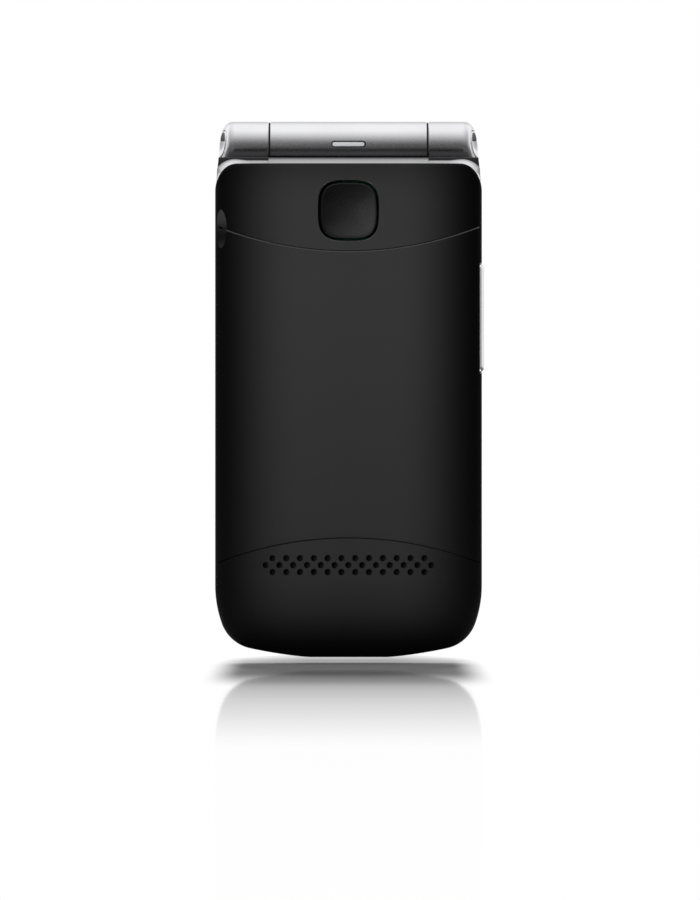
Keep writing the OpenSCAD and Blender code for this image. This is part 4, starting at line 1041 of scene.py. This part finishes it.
# %% Lines of the lid shell
side_z = np.linspace(LID_FOOT, LID_TOP - LID_HEAD, 37)
side_x = side_at(side_z, LID_INSET)
in_ease = side_z < EASE_Z
side_x[in_ease] = HALF_W - EASE_R + np.sqrt((EASE_R - LID_INSET) ** 2 - (EASE_Z - side_z[in_ease]) ** 2)
low_part = lower_right(LID_INSET)
foot_part = low_part[low_part[:, 1] < LID_FOOT]
q = np.linspace(0.0, np.pi / 2, 22)[1:]
head_part = np.stack([
    FLAT + (side_x[-1] - FLAT) * np.cos(q) ** (2 / ROLL_N),
    LID_TOP - LID_HEAD + LID_HEAD * np.sin(q) ** (2 / ROLL_N)], -1)
right = np.concatenate([foot_part, np.stack([side_x, side_z], -1), head_part])
spine_z = np.clip(right[:, 1], LID_FOOT, LID_TOP - LID_HEAD)
right_hub = np.stack([np.full_like(spine_z, FLAT), spine_z], -1)
mid_x = flat_x[1:-1]
loop = np.concatenate([
    right, at_height(mid_x[::-1], LID_TOP), right[::-1] * MIRROR, foot_points(mid_x, LID_INSET)])
hub = np.concatenate([
    right_hub, at_height(mid_x[::-1], LID_TOP - LID_HEAD), right_hub[::-1] * MIRROR,
    at_height(mid_x, LID_FOOT)])
print(len(loop), "lines from the spine to the outline")

# %% Lid shell
LENS_W, LENS_H, LENS_R, LENS_Z = 30.0, 32.0, 4.0, 64.6
LENS_STEPS = [(0.25, 1), (0.25, 0.01), (0.1, -0.05), (0.08, -0.2), (0.08, -4)]
u = roll_steps(1.5, 14, 12, LID_DEPTH)
net = hub[:, None] + u[None, :, None] * (loop - hub)[:, None]
net_y = Y_LID_OUT - LID_DEPTH * fall(u)[None, :]
rolled = patch(net[..., 0], net_y, net[..., 1], loop_rows=True, flip=True)
middle = patch(flat_x[None, :], Y_LID_OUT, side_z[:, None], flip=True)
skirt_y = np.array([Y_LID_OUT - LID_DEPTH, Y_LID_PART])[:, None]
skirt = patch(loop[:, 0], skirt_y, loop[:, 1], loop_cols=True)
lens_line = rounded_rect(LENS_W, LENS_H, LENS_R, 0.0, LENS_Z)
lens_cut = cutter("lens_cut", flared(lens_line, LENS_STEPS, Y_LID_OUT))
build("lid_shell", [rolled, middle, skirt], "lid", BLACK_LID, ["flip_cover"], "black_shell",
      outward=False, wall=1.1, cuts=[lens_cut])

# %% [markdown]
# ## Panes and panels of the lid
#
# Two smoked panes cover the displays. They are slabs with softened edges, and their finish shows the
# display behind as a slightly lighter field with a dark border.

# %% Panes
SCREEN_W, SCREEN_H, SCREEN_R, SCREEN_Z = 40.0, 64.6, 2.0, 52.3
FIELD_SOFT = 0.15
OUTER_STEPS = [(0.0, -0.9), (0.0, -0.22), (-0.06, -0.07), (-0.22, 0)]
INNER_STEPS = [(-0.3, 0), (-0.08, 0.06), (0.0, 0.25), (0.0, 0.9)]


def smoked(name, field_w, field_h, field_z):
    """Dark glossy glass with a lighter display field, measured on Object X and Z in millimetres."""
    finish, tree, shader = blank_finish(name, (0.006, 0.006, 0.007), 0.06)
    up = combine("SUBTRACT", axis_of(tree, "Z"), field_z * MM)
    inside = []
    for place, half in ((axis_of(tree, "X"), field_w / 2), (up, field_h / 2)):
        start, end = (half - FIELD_SOFT) * MM, (half + FIELD_SOFT) * MM
        inside.append(stretch(combine("ABSOLUTE", place), start, end, 1.0, 0.0, "LINEAR"))
    tones = two_tones(combine("MULTIPLY", *inside), (0.004, 0.004, 0.005), (0.026, 0.029, 0.033))
    tree.links.new(tones, shader.inputs["Base Color"])
    tree.links.new(uneven(noise(tree, 60.0), 0.04, 0.09), shader.inputs["Roughness"])
    return finish


OUTER_GLASS = smoked("outer_pane_glass", 26.0, 28.0, LENS_Z)
INNER_GLASS = smoked("inner_pane_glass", 36.0, 60.6, SCREEN_Z)
screen_line = rounded_rect(SCREEN_W, SCREEN_H, SCREEN_R, 0.0, SCREEN_Z)
build("outer_pane", flared(lens_line, OUTER_STEPS, Y_LID_OUT), "lid", OUTER_GLASS, ["outer_lens"],
      "smoked_glass", smooth=60)
build("inner_pane", flared(screen_line, INNER_STEPS, depth_of("display_lens", 0)), "lid", INNER_GLASS,
      ["display_lens"], "smoked_glass", smooth=60)

# %% [markdown]
# The inner panel is a satin plate in the shape of the phone, with openings for the big pane, the earpiece
# and the four rubber stops that the lid closes on.

# %% Inner panel of the lid
PANEL_INSET, PANEL_TOP, STOP_R = 1.65, 94.1, 1.65
EAR_SLOT = rounded_rect(9.0, 1.5, 0.74, 0.0, 11.5)
STOPS = [(s * x, z) for x, z in ((18.5, 5.2), (20.4, 88.6)) for s in (-1, 1)]
THROUGH = [(0.18, -1), (0.18, 0), (0.03, 0.12), (0.0, 0.3), (0.0, 3)]
PANEL_STEPS = [(-0.25, 0), (-0.06, 0.06), (0.0, 0.25), (0.0, 1.0)]


def shield_line(inset, top):
    """The phone's outline set in, closed across its top."""
    return lambda grow: open_outline(inset - grow, top + grow).T


panel_cuts = flared(rounded_rect(40.2, 64.8, 2.1, 0.0, SCREEN_Z), THROUGH, Y_LID_IN)
panel_cuts += flared(EAR_SLOT, THROUGH, Y_LID_IN)
for x, z in STOPS:
    panel_cuts += flared(round_hole(x, z, STOP_R), THROUGH, Y_LID_IN)
panel_cut = cutter("panel_cut", panel_cuts)
build("lid_panel", flared(shield_line(PANEL_INSET, PANEL_TOP), PANEL_STEPS, Y_LID_IN), "lid", PANEL,
      ["flip_fascia"], "dark_panel", cuts=[panel_cut])

# %% [markdown]
# ## Keypad
#
# The keypad plate has an opening for every key, with a softly rounded lip, and a small hole for the
# microphone. Twelve digit keys stand in four rows. Above them are two function keys, the call and end
# keys and a rocker.

# %% Keypad plate
PITCH_X, KEY_W, KEY_H, KEY_R = 15.333, 13.833, 9.7, 2.2
ROW_Z, CALL_Z, SOFT_Z = [46.6, 35.4, 24.2, 13.0], 58.8, 70.0
NAV_Z, NAV_W, NAV_H, NAV_R = 64.4, 12.83, 20.0, 4.0
PLATE_INSET, PLATE_TOP, MICROPHONE = 1.5, 94.4, (-9.0, 5.0, 0.5)
Y_PANEL = depth_of("keypad_fascia", 0)
DIGITS = dict(zip([f"key_{mark}" for mark in (*range(1, 10), "star", 0, "hash")], "123456789*0#"))
KEY_AT = {name: (PITCH_X * (1 - i % 3), ROW_Z[i // 3]) for i, name in enumerate(DIGITS)}
KEY_AT.update(call_key=(PITCH_X, CALL_Z), end_key=(-PITCH_X, CALL_Z))
KEY_AT.update(soft_key_left=(PITCH_X, SOFT_Z), soft_key_right=(-PITCH_X, SOFT_Z))
LIP_STEPS = [
    (0.12, Y_PANEL - 2), (0.12, Y_FRONT - 0.3), (0.16, Y_FRONT - 0.12), (0.32, Y_FRONT),
    (0.32, Y_FRONT + 1)]
PLATE_STEPS = [(0.0, Y_PANEL), (0.0, Y_FRONT - 0.25), (-0.06, Y_FRONT - 0.06), (-0.25, Y_FRONT)]
KEY_LINE = {name: rounded_rect(KEY_W, KEY_H, KEY_R, x, z) for name, (x, z) in KEY_AT.items()}
NAV_LINE = rounded_rect(NAV_W, NAV_H, NAV_R, 0.0, NAV_Z)
plate_cuts = flared(NAV_LINE, LIP_STEPS)
for line in KEY_LINE.values():
    plate_cuts += flared(line, LIP_STEPS)
plate_cuts += flared(round_hole(*MICROPHONE), LIP_STEPS)
plate_cut = cutter("plate_cut", plate_cuts)
build("keypad_plate", flared(shield_line(PLATE_INSET, PLATE_TOP), PLATE_STEPS), "base", PANEL,
      ["keypad_fascia"], "dark_panel", cuts=[plate_cut])
print(len(KEY_AT) + 1, "openings for keys")

# %% [markdown]
# Each key is a pillow: rings of its own outline rise to a low crown, turn over a small edge, go down
# through the plate and end in the flange that holds the key in. The rocker is the same form with a dish
# for a crown.

# %% Keys
KEY_FLOOR, KEY_EDGE, KEY_CROWN = depth_of("key_1", 0), Y_FRONT - 0.18, 0.27
NAV_FLOOR, NAV_EDGE, NAV_DISH, NAV_FLANGE = (
    depth_of("navigation_rocker", 0), depth_of("navigation_rocker", 1) - 0.05, 0.35, 0.35)
KEY_FINISH = {
    "call_key": (GREEN_KEY, "call_green"), "end_key": (RED_KEY, "end_red"),
    "soft_key_left": (FUNCTION_KEY, "function_key"), "soft_key_right": (FUNCTION_KEY, "function_key")}


def pillow(outline_of, cx, cz, edge_y, crown, floor_y, flange=0.7, brim=0.5):
    """A key: scaled outlines y = edge + crown (1 - s^4), a rounded edge, a wall and a flange."""
    ox, oz = outline_of(0.0)
    wide_x, wide_z = outline_of(brim)
    dome = np.linspace(0.0, 0.95, 14)
    s = np.concatenate([dome, [0.975, 0.99, 1.0]])[:, None]
    x = np.concatenate([cx + s * (ox - cx), [ox, wide_x, wide_x]])
    z = np.concatenate([cz + s * (oz - cz), [oz, wide_z, wide_z]])
    rounded = edge_y + np.array([0.0, -0.08, -0.25]) + crown * 0.04
    wall = [floor_y + flange, floor_y + flange, floor_y]
    y = np.concatenate([edge_y + crown * (1 - dome**4), rounded, wall])
    return domed(x, y[:, None], z)


for name, (x, z) in KEY_AT.items():
    finish, slot = KEY_FINISH.get(name, (KEYCAP, "digit_key"))
    key = pillow(KEY_LINE[name], x, z, KEY_EDGE, KEY_CROWN, KEY_FLOOR)
    build(f"cap_of_{name}", key, name, finish, [name], slot, smooth=40)
rocker = pillow(NAV_LINE, 0.0, NAV_Z, NAV_EDGE, -NAV_DISH, NAV_FLOOR, NAV_FLANGE)
build("cap_of_navigation", rocker, "navigation_rocker", FUNCTION_KEY, ["navigation_rocker"],
      "function_key", smooth=40)

# %% [markdown]
# Plain digits and signs lie on the pillows as thin print that follows the crown. The digits come from the
# built-in font, and the receivers, bars and arrows are drawn by formula.

# %% Signs
GLYPH_H, STAR_H, CAP_SHARE = 4.2, 7.5, 0.72


def on_crown(x, z, cx, cz, lift=0.02):
    """Depth of a key's face at a point, a hair above its crown."""
    s = np.maximum(np.abs(x - cx) / (KEY_W / 2), np.abs(z - cz) / (KEY_H / 2))
    return KEY_EDGE + KEY_CROWN * (1 - s**4) + lift


def glyph(sign, cx, cz, height):
    """A sign of the built-in plain font as a flat mesh on a key, read from the keypad's side."""
    curve = bpy.data.curves.new("sign", "FONT")
    curve.body, curve.resolution_u = sign, 6
    holder = bpy.data.objects.new("sign", curve)
    bpy.context.scene.collection.objects.link(holder)
    bpy.context.view_layer.update()
    flat = bpy.data.meshes.new_from_object(holder.evaluated_get(bpy.context.evaluated_depsgraph_get()))
    at = np.empty(len(flat.vertices) * 3)
    flat.vertices.foreach_get("co", at)
    at = at.reshape(-1, 3)
    middle = (at.min(0) + at.max(0)) / 2
    size = height / CAP_SHARE
    x, z = cx - (at[:, 0] - middle[0]) * size, cz + (at[:, 1] - middle[1]) * size
    faces = [list(face.vertices) for face in flat.polygons]
    bpy.data.objects.remove(holder)
    bpy.data.curves.remove(curve)
    bpy.data.meshes.remove(flat)
    return np.stack([x, on_crown(x, z, cx, cz), z], -1), faces


def handset(cx, cz, turn):
    """A plain receiver sign: an arc of radius 2.5 whose half width, 0.28 to 0.7, is a logistic step."""
    a = np.linspace(-1.0, 1.0, 33)[None, :]
    half = 0.28 + 0.42 / (1 + np.exp(-(np.abs(a) - 0.72) * 40))
    r = 2.5 + np.array([-1.0, 1.0])[:, None] * half
    angle = np.radians(turn + 58 * a)
    x, z = cx + r * np.cos(angle), cz - 1.7 * np.sin(np.radians(turn)) + r * np.sin(angle)
    return patch(x, on_crown(x, z, cx, cz), z)


print("a crown stands", round(float(on_crown(0.0, 0.0, 0.0, 0.0, 0.0) - Y_FRONT), 2), "mm proud")

# %% Print on the keys
BAR_LENGTH, BAR_HEIGHT, BAR_ROUND = 4.4, 0.7, 0.34
ARROW_X, ARROW_Z = np.array([-1.5, 1.5, 0.0]), np.array([-0.8, -0.8, 0.9])
ARROW_AT, ARROW_LIFT = 6.4, 0.05
signs = {}
for name, sign in DIGITS.items():
    signs[name] = glyph(sign, *KEY_AT[name], STAR_H if sign == "*" else GLYPH_H)
signs["call_key"] = handset(*KEY_AT["call_key"], 270)
signs["end_key"] = handset(*KEY_AT["end_key"], 90)
for name in ("soft_key_left", "soft_key_right"):
    x, z = rounded_rect(BAR_LENGTH, BAR_HEIGHT, BAR_ROUND, *KEY_AT[name])()
    signs[name] = lid_on(x, on_crown(x, z, *KEY_AT[name]), z, flip=True)
for name, sign in signs.items():
    build(f"print_of_{name}", [sign], name, PRINT, outward=False)
for name, way in (("up", 1), ("down", -1)):
    tip_z = way * (ARROW_AT + ARROW_Z)
    s = np.maximum(np.abs(ARROW_X) / (NAV_W / 2), np.abs(tip_z) / (NAV_H / 2))
    arrow = lid_on(ARROW_X, NAV_EDGE - NAV_DISH * (1 - s**4) + ARROW_LIFT, NAV_Z + tip_z, flip=way > 0)
    build(f"arrow_{name}", [arrow], "navigation_rocker", PRINT, outward=False)

# %% [markdown]
# ## Under the battery cover
#
# With the cover off one looks into a black tray: a floor with windows for the card and the contacts and
# holes for the screws, a ledge under each seam, and ribs that hold the battery.

# %% Tray floor
TRAY_BACK, TRAY_FRONT = -3.8177, -3.0177
TRAY_STEPS = [(-0.15, TRAY_BACK), (0.0, TRAY_BACK + 0.15), (0.0, TRAY_FRONT)]
WINDOW_STEPS = [(0.1, TRAY_BACK - 1), (0.1, TRAY_BACK), (0.0, TRAY_BACK + 0.1), (0.0, 0.0)]
SCREW_STEPS = [(0.0, TRAY_BACK - 2), (0.0, 0.0)]
TRAY_LINE = rounded_rect(48.6, 57.6, 1.5, 0.0, 51.3)
CARD_WINDOW, CONTACT_WINDOW = (16.0, 15.0, 1.0, 0.0, 61.95), (11.0, 3.2, 0.6, 0.0, 75.75)
SCREW_R, SCREWS = 1.5, [(s * 21.6, z) for z in (30.0, 79.3) for s in (-1, 1)]
tray_cuts = []
for window in (CARD_WINDOW, CONTACT_WINDOW):
    tray_cuts += flared(rounded_rect(*window), WINDOW_STEPS)
for x, z in SCREWS:
    tray_cuts += flared(round_hole(x, z, SCREW_R, 32), SCREW_STEPS)
tray_cut = cutter("tray_cut", tray_cuts)
INSIDE = ("base", TRAY, ["rear_housing"], "black_shell")
build("tray_floor", flared(TRAY_LINE, TRAY_STEPS), *INSIDE, cuts=[tray_cut])

# %% Ledges and ribs
RIB_BACK = -6.9
RIB_STEPS = [(-0.2, RIB_BACK), (0.0, RIB_BACK + 0.2), (0.0, TRAY_BACK)]
RIB_W, RIB_H, RIB_R, RIB_X, RIB_Z = 1.0, 48.6, 0.45, 18.75, 49.95
LEDGE_UNDER, LEDGE_HALF, LEDGE_END, LEDGE_EDGE = 1.25, 0.8, 24.3, 0.15


def ledge(line_of):
    """A wall under a seam, from the tray to just under the cover, carried along the seam's arc."""
    x = np.linspace(-LEDGE_END, LEDGE_END, 61)[None, :]
    under = np.minimum(back_at(x) + LEDGE_UNDER, TRAY_BACK)
    flat = LEDGE_HALF - LEDGE_EDGE
    side = np.array([-LEDGE_HALF, -LEDGE_HALF, -flat, flat, LEDGE_HALF, LEDGE_HALF])[:, None]
    down = np.array([1.0, 0.0, 0.0, 0.0, 0.0, 1.0])[:, None]
    ease = np.array([0.0, LEDGE_EDGE, 0.0, 0.0, LEDGE_EDGE, 0.0])[:, None]
    return capped(x, under + ease + (TRAY_BACK - under) * down, line_of(x) + side, by_rows=True)


for name, line_of in (("low", seam_low), ("high", seam_high)):
    build(f"seam_ledge_{name}", ledge(line_of), *INSIDE)
for name, side in SIDES:
    rib_line = rounded_rect(RIB_W, RIB_H, RIB_R, side * RIB_X, RIB_Z)
    build(f"battery_rib_{name}", flared(rib_line, RIB_STEPS), *INSIDE)

# %% [markdown]
# The ribbon between the two halves is wound loosely inside the barrel and runs on into the lid, while its
# other end goes through the hollow pin and down the ear. It is split where it turns, so each half follows
# its own body. The winding is a spiral, r = r0 + k (turn - end).

# %% Ribbon through the hinge
COIL_L, COIL_R, LEAD_X, LEAD_W, LEAD_Z = -8.75, -4.05, -22.65, 0.6, 88.5
WIND_R, WIND_GROWS, FILM_HALF = 2.3, 0.045, 0.08
TAIL_Y, TAIL_Z = Y_LID_IN + 1.225, 83.7


def ribbon(middle, half_t, x0, x1):
    """A strip of even thickness about a line in Y and Z, as wide as from x0 to x1."""
    run = np.gradient(middle, axis=0)
    normal = np.stack([-run[:, 1], run[:, 0]], -1) / np.linalg.norm(run, axis=1)[:, None]
    a, b = middle + normal * half_t, middle - normal * half_t
    x = np.array([x0, x1])[:, None]
    faces = [patch(x, side[:, 0][None, :], side[:, 1][None, :]) for side in (a, b)]
    both = np.stack([a, b])
    faces += [patch(at, both[..., 0], both[..., 1]) for at in (x0, x1)]
    faces += [patch(x, both[None, :, end, 0], both[None, :, end, 1]) for end in (0, -1)]
    return faces


turn = np.linspace(-5.2 * np.pi, np.radians(-54.0), 120)
wind = WIND_R + WIND_GROWS * (turn - turn[-1])
coil = about_hinge(wind, turn)
tail = np.stack([np.full(24, TAIL_Y), np.linspace(coil[-1, 1] - 0.6, TAIL_Z, 24)], -1)
build("flex_in_lid", ribbon(np.concatenate([coil, tail]), FILM_HALF, COIL_L, COIL_R), "lid", FILM,
      ["hinge_flex"], "flex_film")
lead_end = LEAD_X + LEAD_W
lead = block((LEAD_X + 0.1, Y_HINGE - 0.1, Z_HINGE - 0.7), (COIL_L - 0.3, Y_HINGE + 0.1, Z_HINGE + 0.7))
lead += block((LEAD_X, Y_HINGE - 1.8, LEAD_Z), (lead_end, Y_HINGE - 1.5, Z_HINGE + 0.8))
lead += block((LEAD_X, Y_HINGE - 1.7, Z_HINGE - 0.75), (lead_end, Y_HINGE + 0.05, Z_HINGE + 0.75))
lead += block((LEAD_X, depth_of("main_board", 1), LEAD_Z), (lead_end, Y_HINGE - 1.6, LEAD_Z + 0.3))
build("flex_in_base", lead, "base", FILM, ["hinge_flex"], "flex_film", edge=0.04)

# %% [markdown]
# ## Inner parts
#
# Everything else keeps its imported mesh: boards, displays, speaker, battery, contacts and screws. Each
# gets a weld, a small rounded edge and a finish for its material.

# %% Finishes of the inner parts
NODE_WELD, NODE_EDGE = 0.001, 0.06
INNER = {
    "antenna": GOLD, "battery": WRAP, "battery_contacts": GOLD, "charging_socket": STEEL,
    "display_board": BOARD, "dome_sheet": STEEL, "earpiece": TRAY, "earpiece_mesh": RUBBER,
    "flip_bumpers": RUBBER, "flip_screws": STEEL, "hinge_bush": NATURAL, "hinge_pin": STEEL,
    "hinge_shaft": STEEL, "hinge_unit": NATURAL, "housing_screws": STEEL, "keypad_membrane": SILICONE,
    "loudspeaker": TRAY, "magnet": STEEL, "main_board": BOARD, "main_display": OUTER_GLASS,
    "microphone": STEEL, "outer_display": OUTER_GLASS, "shield_can": STEEL, "sim_holder": STEEL,
    "sos_switch": TRAY, "speaker_mesh": RUBBER, "vibration_motor": STEEL, "volume_switches": TRAY,
}
for name, finish in INNER.items():
    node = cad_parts[name]
    node.data.materials.clear()
    node.data.materials.append(finish)
    weld = node.modifiers.new("weld", "WELD")
    weld.merge_threshold = NODE_WELD * MM
    bevel = node.modifiers.new("edge", "BEVEL")
    bevel.width, bevel.segments, bevel.limit_method = NODE_EDGE * MM, 2, "ANGLE"
    bevel.angle_limit = np.radians(40)
print(len(INNER), "inner parts finished")

# %% [markdown]
# ## Studio
#
# The phone stands on a pale, slightly polished floor, seen from straight behind. The background is white
# because the world and the floor show white to camera and glass rays, not from more light. Under the
# phone a soft oval of painted shadow darkens the floor, on top of the lamps' real shadow.

# %% Floor
FLOOR_Z = -1.37
floor_at = np.linspace(-1500, 1500, 5)
floor = make_object("floor", [patch(floor_at[None, :], floor_at[::-1][:, None], FLOOR_Z)], outward=False)
floor_finish = bpy.data.materials.new("pale_polished_floor")
floor_finish.use_nodes = True
floor.data.materials.append(floor_finish)
tree = floor_finish.node_tree
tree.nodes.clear()
output = tree.nodes.new("ShaderNodeOutputMaterial")
matt = tree.nodes.new("ShaderNodeBsdfDiffuse")
polish = tree.nodes.new("ShaderNodeBsdfGlossy")
polish.inputs["Roughness"].default_value = 0.04
paper = tree.nodes.new("ShaderNodeEmission")
print("floor at", FLOOR_Z, "mm")

# %% [markdown]
# Three shares make up the floor. Paper is what the camera sees outside the painted shadow, matt colour lies
# in the painted shadow and also catches the lamps' shadow, and polish mirrors the foot where the floor is
# seen at a grazing angle. The lengths given to stretch are metres, and those given to along are
# millimetres.


# %% Shares of the floor
def blend(factor, first, second):
    """One shader over another."""
    tree = factor.id_data
    node = tree.nodes.new("ShaderNodeMixShader")
    tree.links.new(factor, node.inputs["Fac"])
    tree.links.new(first, node.inputs[1])
    tree.links.new(second, node.inputs[2])
    return node.outputs["Shader"]


path = tree.nodes.new("ShaderNodeLightPath")
aside, depth = combine("ABSOLUTE", axis_of(tree, "X")), axis_of(tree, "Y")
mirrored = combine("MULTIPLY", path.outputs["Is Glossy Ray"], stretch(depth, 0.3, 0.8, 0.0, 1.0))
mirrored = combine("MAXIMUM", mirrored, path.outputs["Is Transmission Ray"])
seen = combine("MAXIMUM", path.outputs["Is Camera Ray"], mirrored)
# Painted shadow: a soft oval round the foot of the phone, fading out towards both sides.
painted_shadow_reach = stretch(aside, 0.008, 0.03, 0.12, 0.047, "LINEAR")
behind = combine("DIVIDE", combine("ADD", depth, 0.02), painted_shadow_reach)
painted_shadow = combine("MULTIPLY", stretch(behind, 0.0, 1.0, 1.0, 0.0), stretch(depth, -0.15, -0.06, 0.0, 1.0))
painted_shadow = combine("MULTIPLY", painted_shadow, stretch(aside, 0.0198, 0.0272, 1.0, 0.0))
paper_share = combine("MULTIPLY", seen, stretch(painted_shadow, 0.0, 1.0, 1.0, 0.0, "LINEAR"))
polish_share = along(tree, "Y", [
    (-416, 0.0), (-356, 0.105), (-289, 0.25), (-214, 0.4), (-162, 0.54), (-129, 0.66), (-105, 0.68),
    (-81, 0.54), (-50, 0.48), (10, 0.0)])
graze = tree.nodes.new("ShaderNodeLayerWeight")
steep = combine("POWER", graze.outputs["Facing"], 40.0)
polish_share = combine("MULTIPLY", polish_share, stretch(steep, 0.0, 0.2, 0.0, 0.9))
print(len(tree.nodes), "nodes for the shares")

# %% Tones of the floor
where = tree.nodes.new("ShaderNodeTexCoord")
length = tree.nodes.new("ShaderNodeVectorMath")
length.operation = "LENGTH"
tree.links.new(where.outputs["Object"], length.inputs[0])
fade = stretch(length.outputs["Value"], 0.085, 0.13, 1.0, 0.1)
# Inside the painted shadow the matt colour is darker and the polish is tinted darker.
shadow_darkening = stretch(depth, -0.01, 0.03, -0.52, -0.81)
shadow_darkening = combine("MULTIPLY", shadow_darkening, stretch(painted_shadow, 0.0, 0.15, 0.0, 1.0))
tree.links.new(combine("MULTIPLY", combine("ADD", shadow_darkening, 0.9), fade), matt.inputs["Color"])
tree.links.new(stretch(painted_shadow, 0.0, 1.0, 1.0, 0.1, "LINEAR"), polish.inputs["Color"])
surface = blend(paper_share, matt.outputs["BSDF"], paper.outputs["Emission"])
surface = blend(polish_share, surface, polish.outputs["BSDF"])
tree.links.new(surface, output.inputs["Surface"])
print(len(tree.nodes), "nodes in the floor")

# %% [markdown]
# One broad lamp hangs above the phone, one stands on the camera's left for the back, and one behind the
# phone keeps the far side readable. Mirrors don't see the lamps, so no square of light lies on the metal.


# %% Lamps
def lamp(name, place, target, size, watts, tall=None):
    """A soft rectangular lamp that faces its target, all in millimetres."""
    light = bpy.data.lights.new(name, "AREA")
    light.shape = "RECTANGLE"
    light.size, light.size_y = size * MM, (tall or size) * MM
    light.energy = watts
    holder = bpy.data.objects.new(name, light)
    bpy.context.scene.collection.objects.link(holder)
    aim = np.array(target, float) - np.array(place, float)
    holder.location = np.array(place) * MM
    yaw = np.arctan2(aim[0], -aim[1])
    pitch = np.arctan2(np.hypot(aim[0], aim[1]), -aim[2])
    holder.rotation_euler = (pitch, 0.0, yaw + np.pi)
    holder.visible_glossy = False
    print(name, watts, "W")


lamp("overhead", (0, -60, 900), (0, 0, 90), 1100, 2.5, 700)
lamp("front", (-420, -1000, 190), (0, 0, 60), 500, 8.0)
lamp("far_side", (0, 760, 640), (0, 0, 50), 500, 16.0)

# %% [markdown]
# The metal shows the world instead. It is bright above, behind the phone and at both sides there, and dim
# on the camera's side. Everything that isn't a mirror gets only a dim room.

# %% World
world = bpy.data.worlds.new("studio")
bpy.context.scene.world = world
world.use_nodes = True
tree = world.node_tree
tree.nodes.clear()
output = tree.nodes.new("ShaderNodeOutputWorld")
room = tree.nodes.new("ShaderNodeBackground")
room.inputs["Color"].default_value = (0.1, 0.1, 0.103, 1)
white = tree.nodes.new("ShaderNodeBackground")
white.inputs["Color"].default_value = (1, 1, 1, 1)
where = tree.nodes.new("ShaderNodeTexCoord")
split = tree.nodes.new("ShaderNodeSeparateXYZ")
tree.links.new(where.outputs["Generated"], split.inputs["Vector"])
path = tree.nodes.new("ShaderNodeLightPath")
aside, depth = combine("ABSOLUTE", split.outputs["X"]), split.outputs["Y"]
ceiling = combine("POWER", stretch(split.outputs["Z"], 0.0, 0.93, 0.0, 1.0, "LINEAR"), 1.2)
backdrop = stretch(depth, -0.4, 0.25, 0.06, 0.62)
backdrop = combine("MAXIMUM", backdrop, stretch(depth, 0.95, 0.98, 0.0, 1.0))
wings = combine("MULTIPLY", stretch(aside, 0.25, 0.5, 0.0, 1.0), stretch(depth, 0.0, 0.4, 0.0, 1.0))
backdrop = combine("MAXIMUM", backdrop, wings)
shown = combine("MULTIPLY", path.outputs["Is Glossy Ray"], combine("MAXIMUM", ceiling, backdrop))
shown = combine("MAXIMUM", shown, path.outputs["Is Transmission Ray"])
shown = combine("MAXIMUM", shown, path.outputs["Is Camera Ray"])
surface = blend(shown, room.outputs["Background"], white.outputs["Background"])
tree.links.new(surface, output.inputs["Surface"])
print(len(tree.nodes), "nodes in the world")

# %% [markdown]
# A long lens far away looks straight at the back, as in the photo: the edges of the phone stay parallel,
# and hardly any of its sides shows.

# %% Camera
CAMERA_X, CAMERA_Z, PX_PER_MM, TALL_PX = 0.29, 40.37, 5.115, 900
camera_data = bpy.data.cameras.new("camera")
camera_data.lens = 300.0
camera_data.sensor_width = 36.0
camera_data.clip_end = 20.0
camera = bpy.data.objects.new("camera", camera_data)
bpy.context.scene.collection.objects.link(camera)
camera_away = TALL_PX / PX_PER_MM * camera_data.lens / camera_data.sensor_width
camera.location = (CAMERA_X * MM, -camera_away * MM, CAMERA_Z * MM)
camera.rotation_euler = (np.pi / 2, 0.0, 0.0)
bpy.context.scene.camera = camera
bpy.context.scene.view_settings.view_transform = "Standard"
print("camera", round(float(camera_away)), "mm away")

# %% [markdown]
# The cutters have done their work and go.

# %% Cutters go, and the end
for tool in CUTTERS:
    bpy.data.objects.remove(tool)
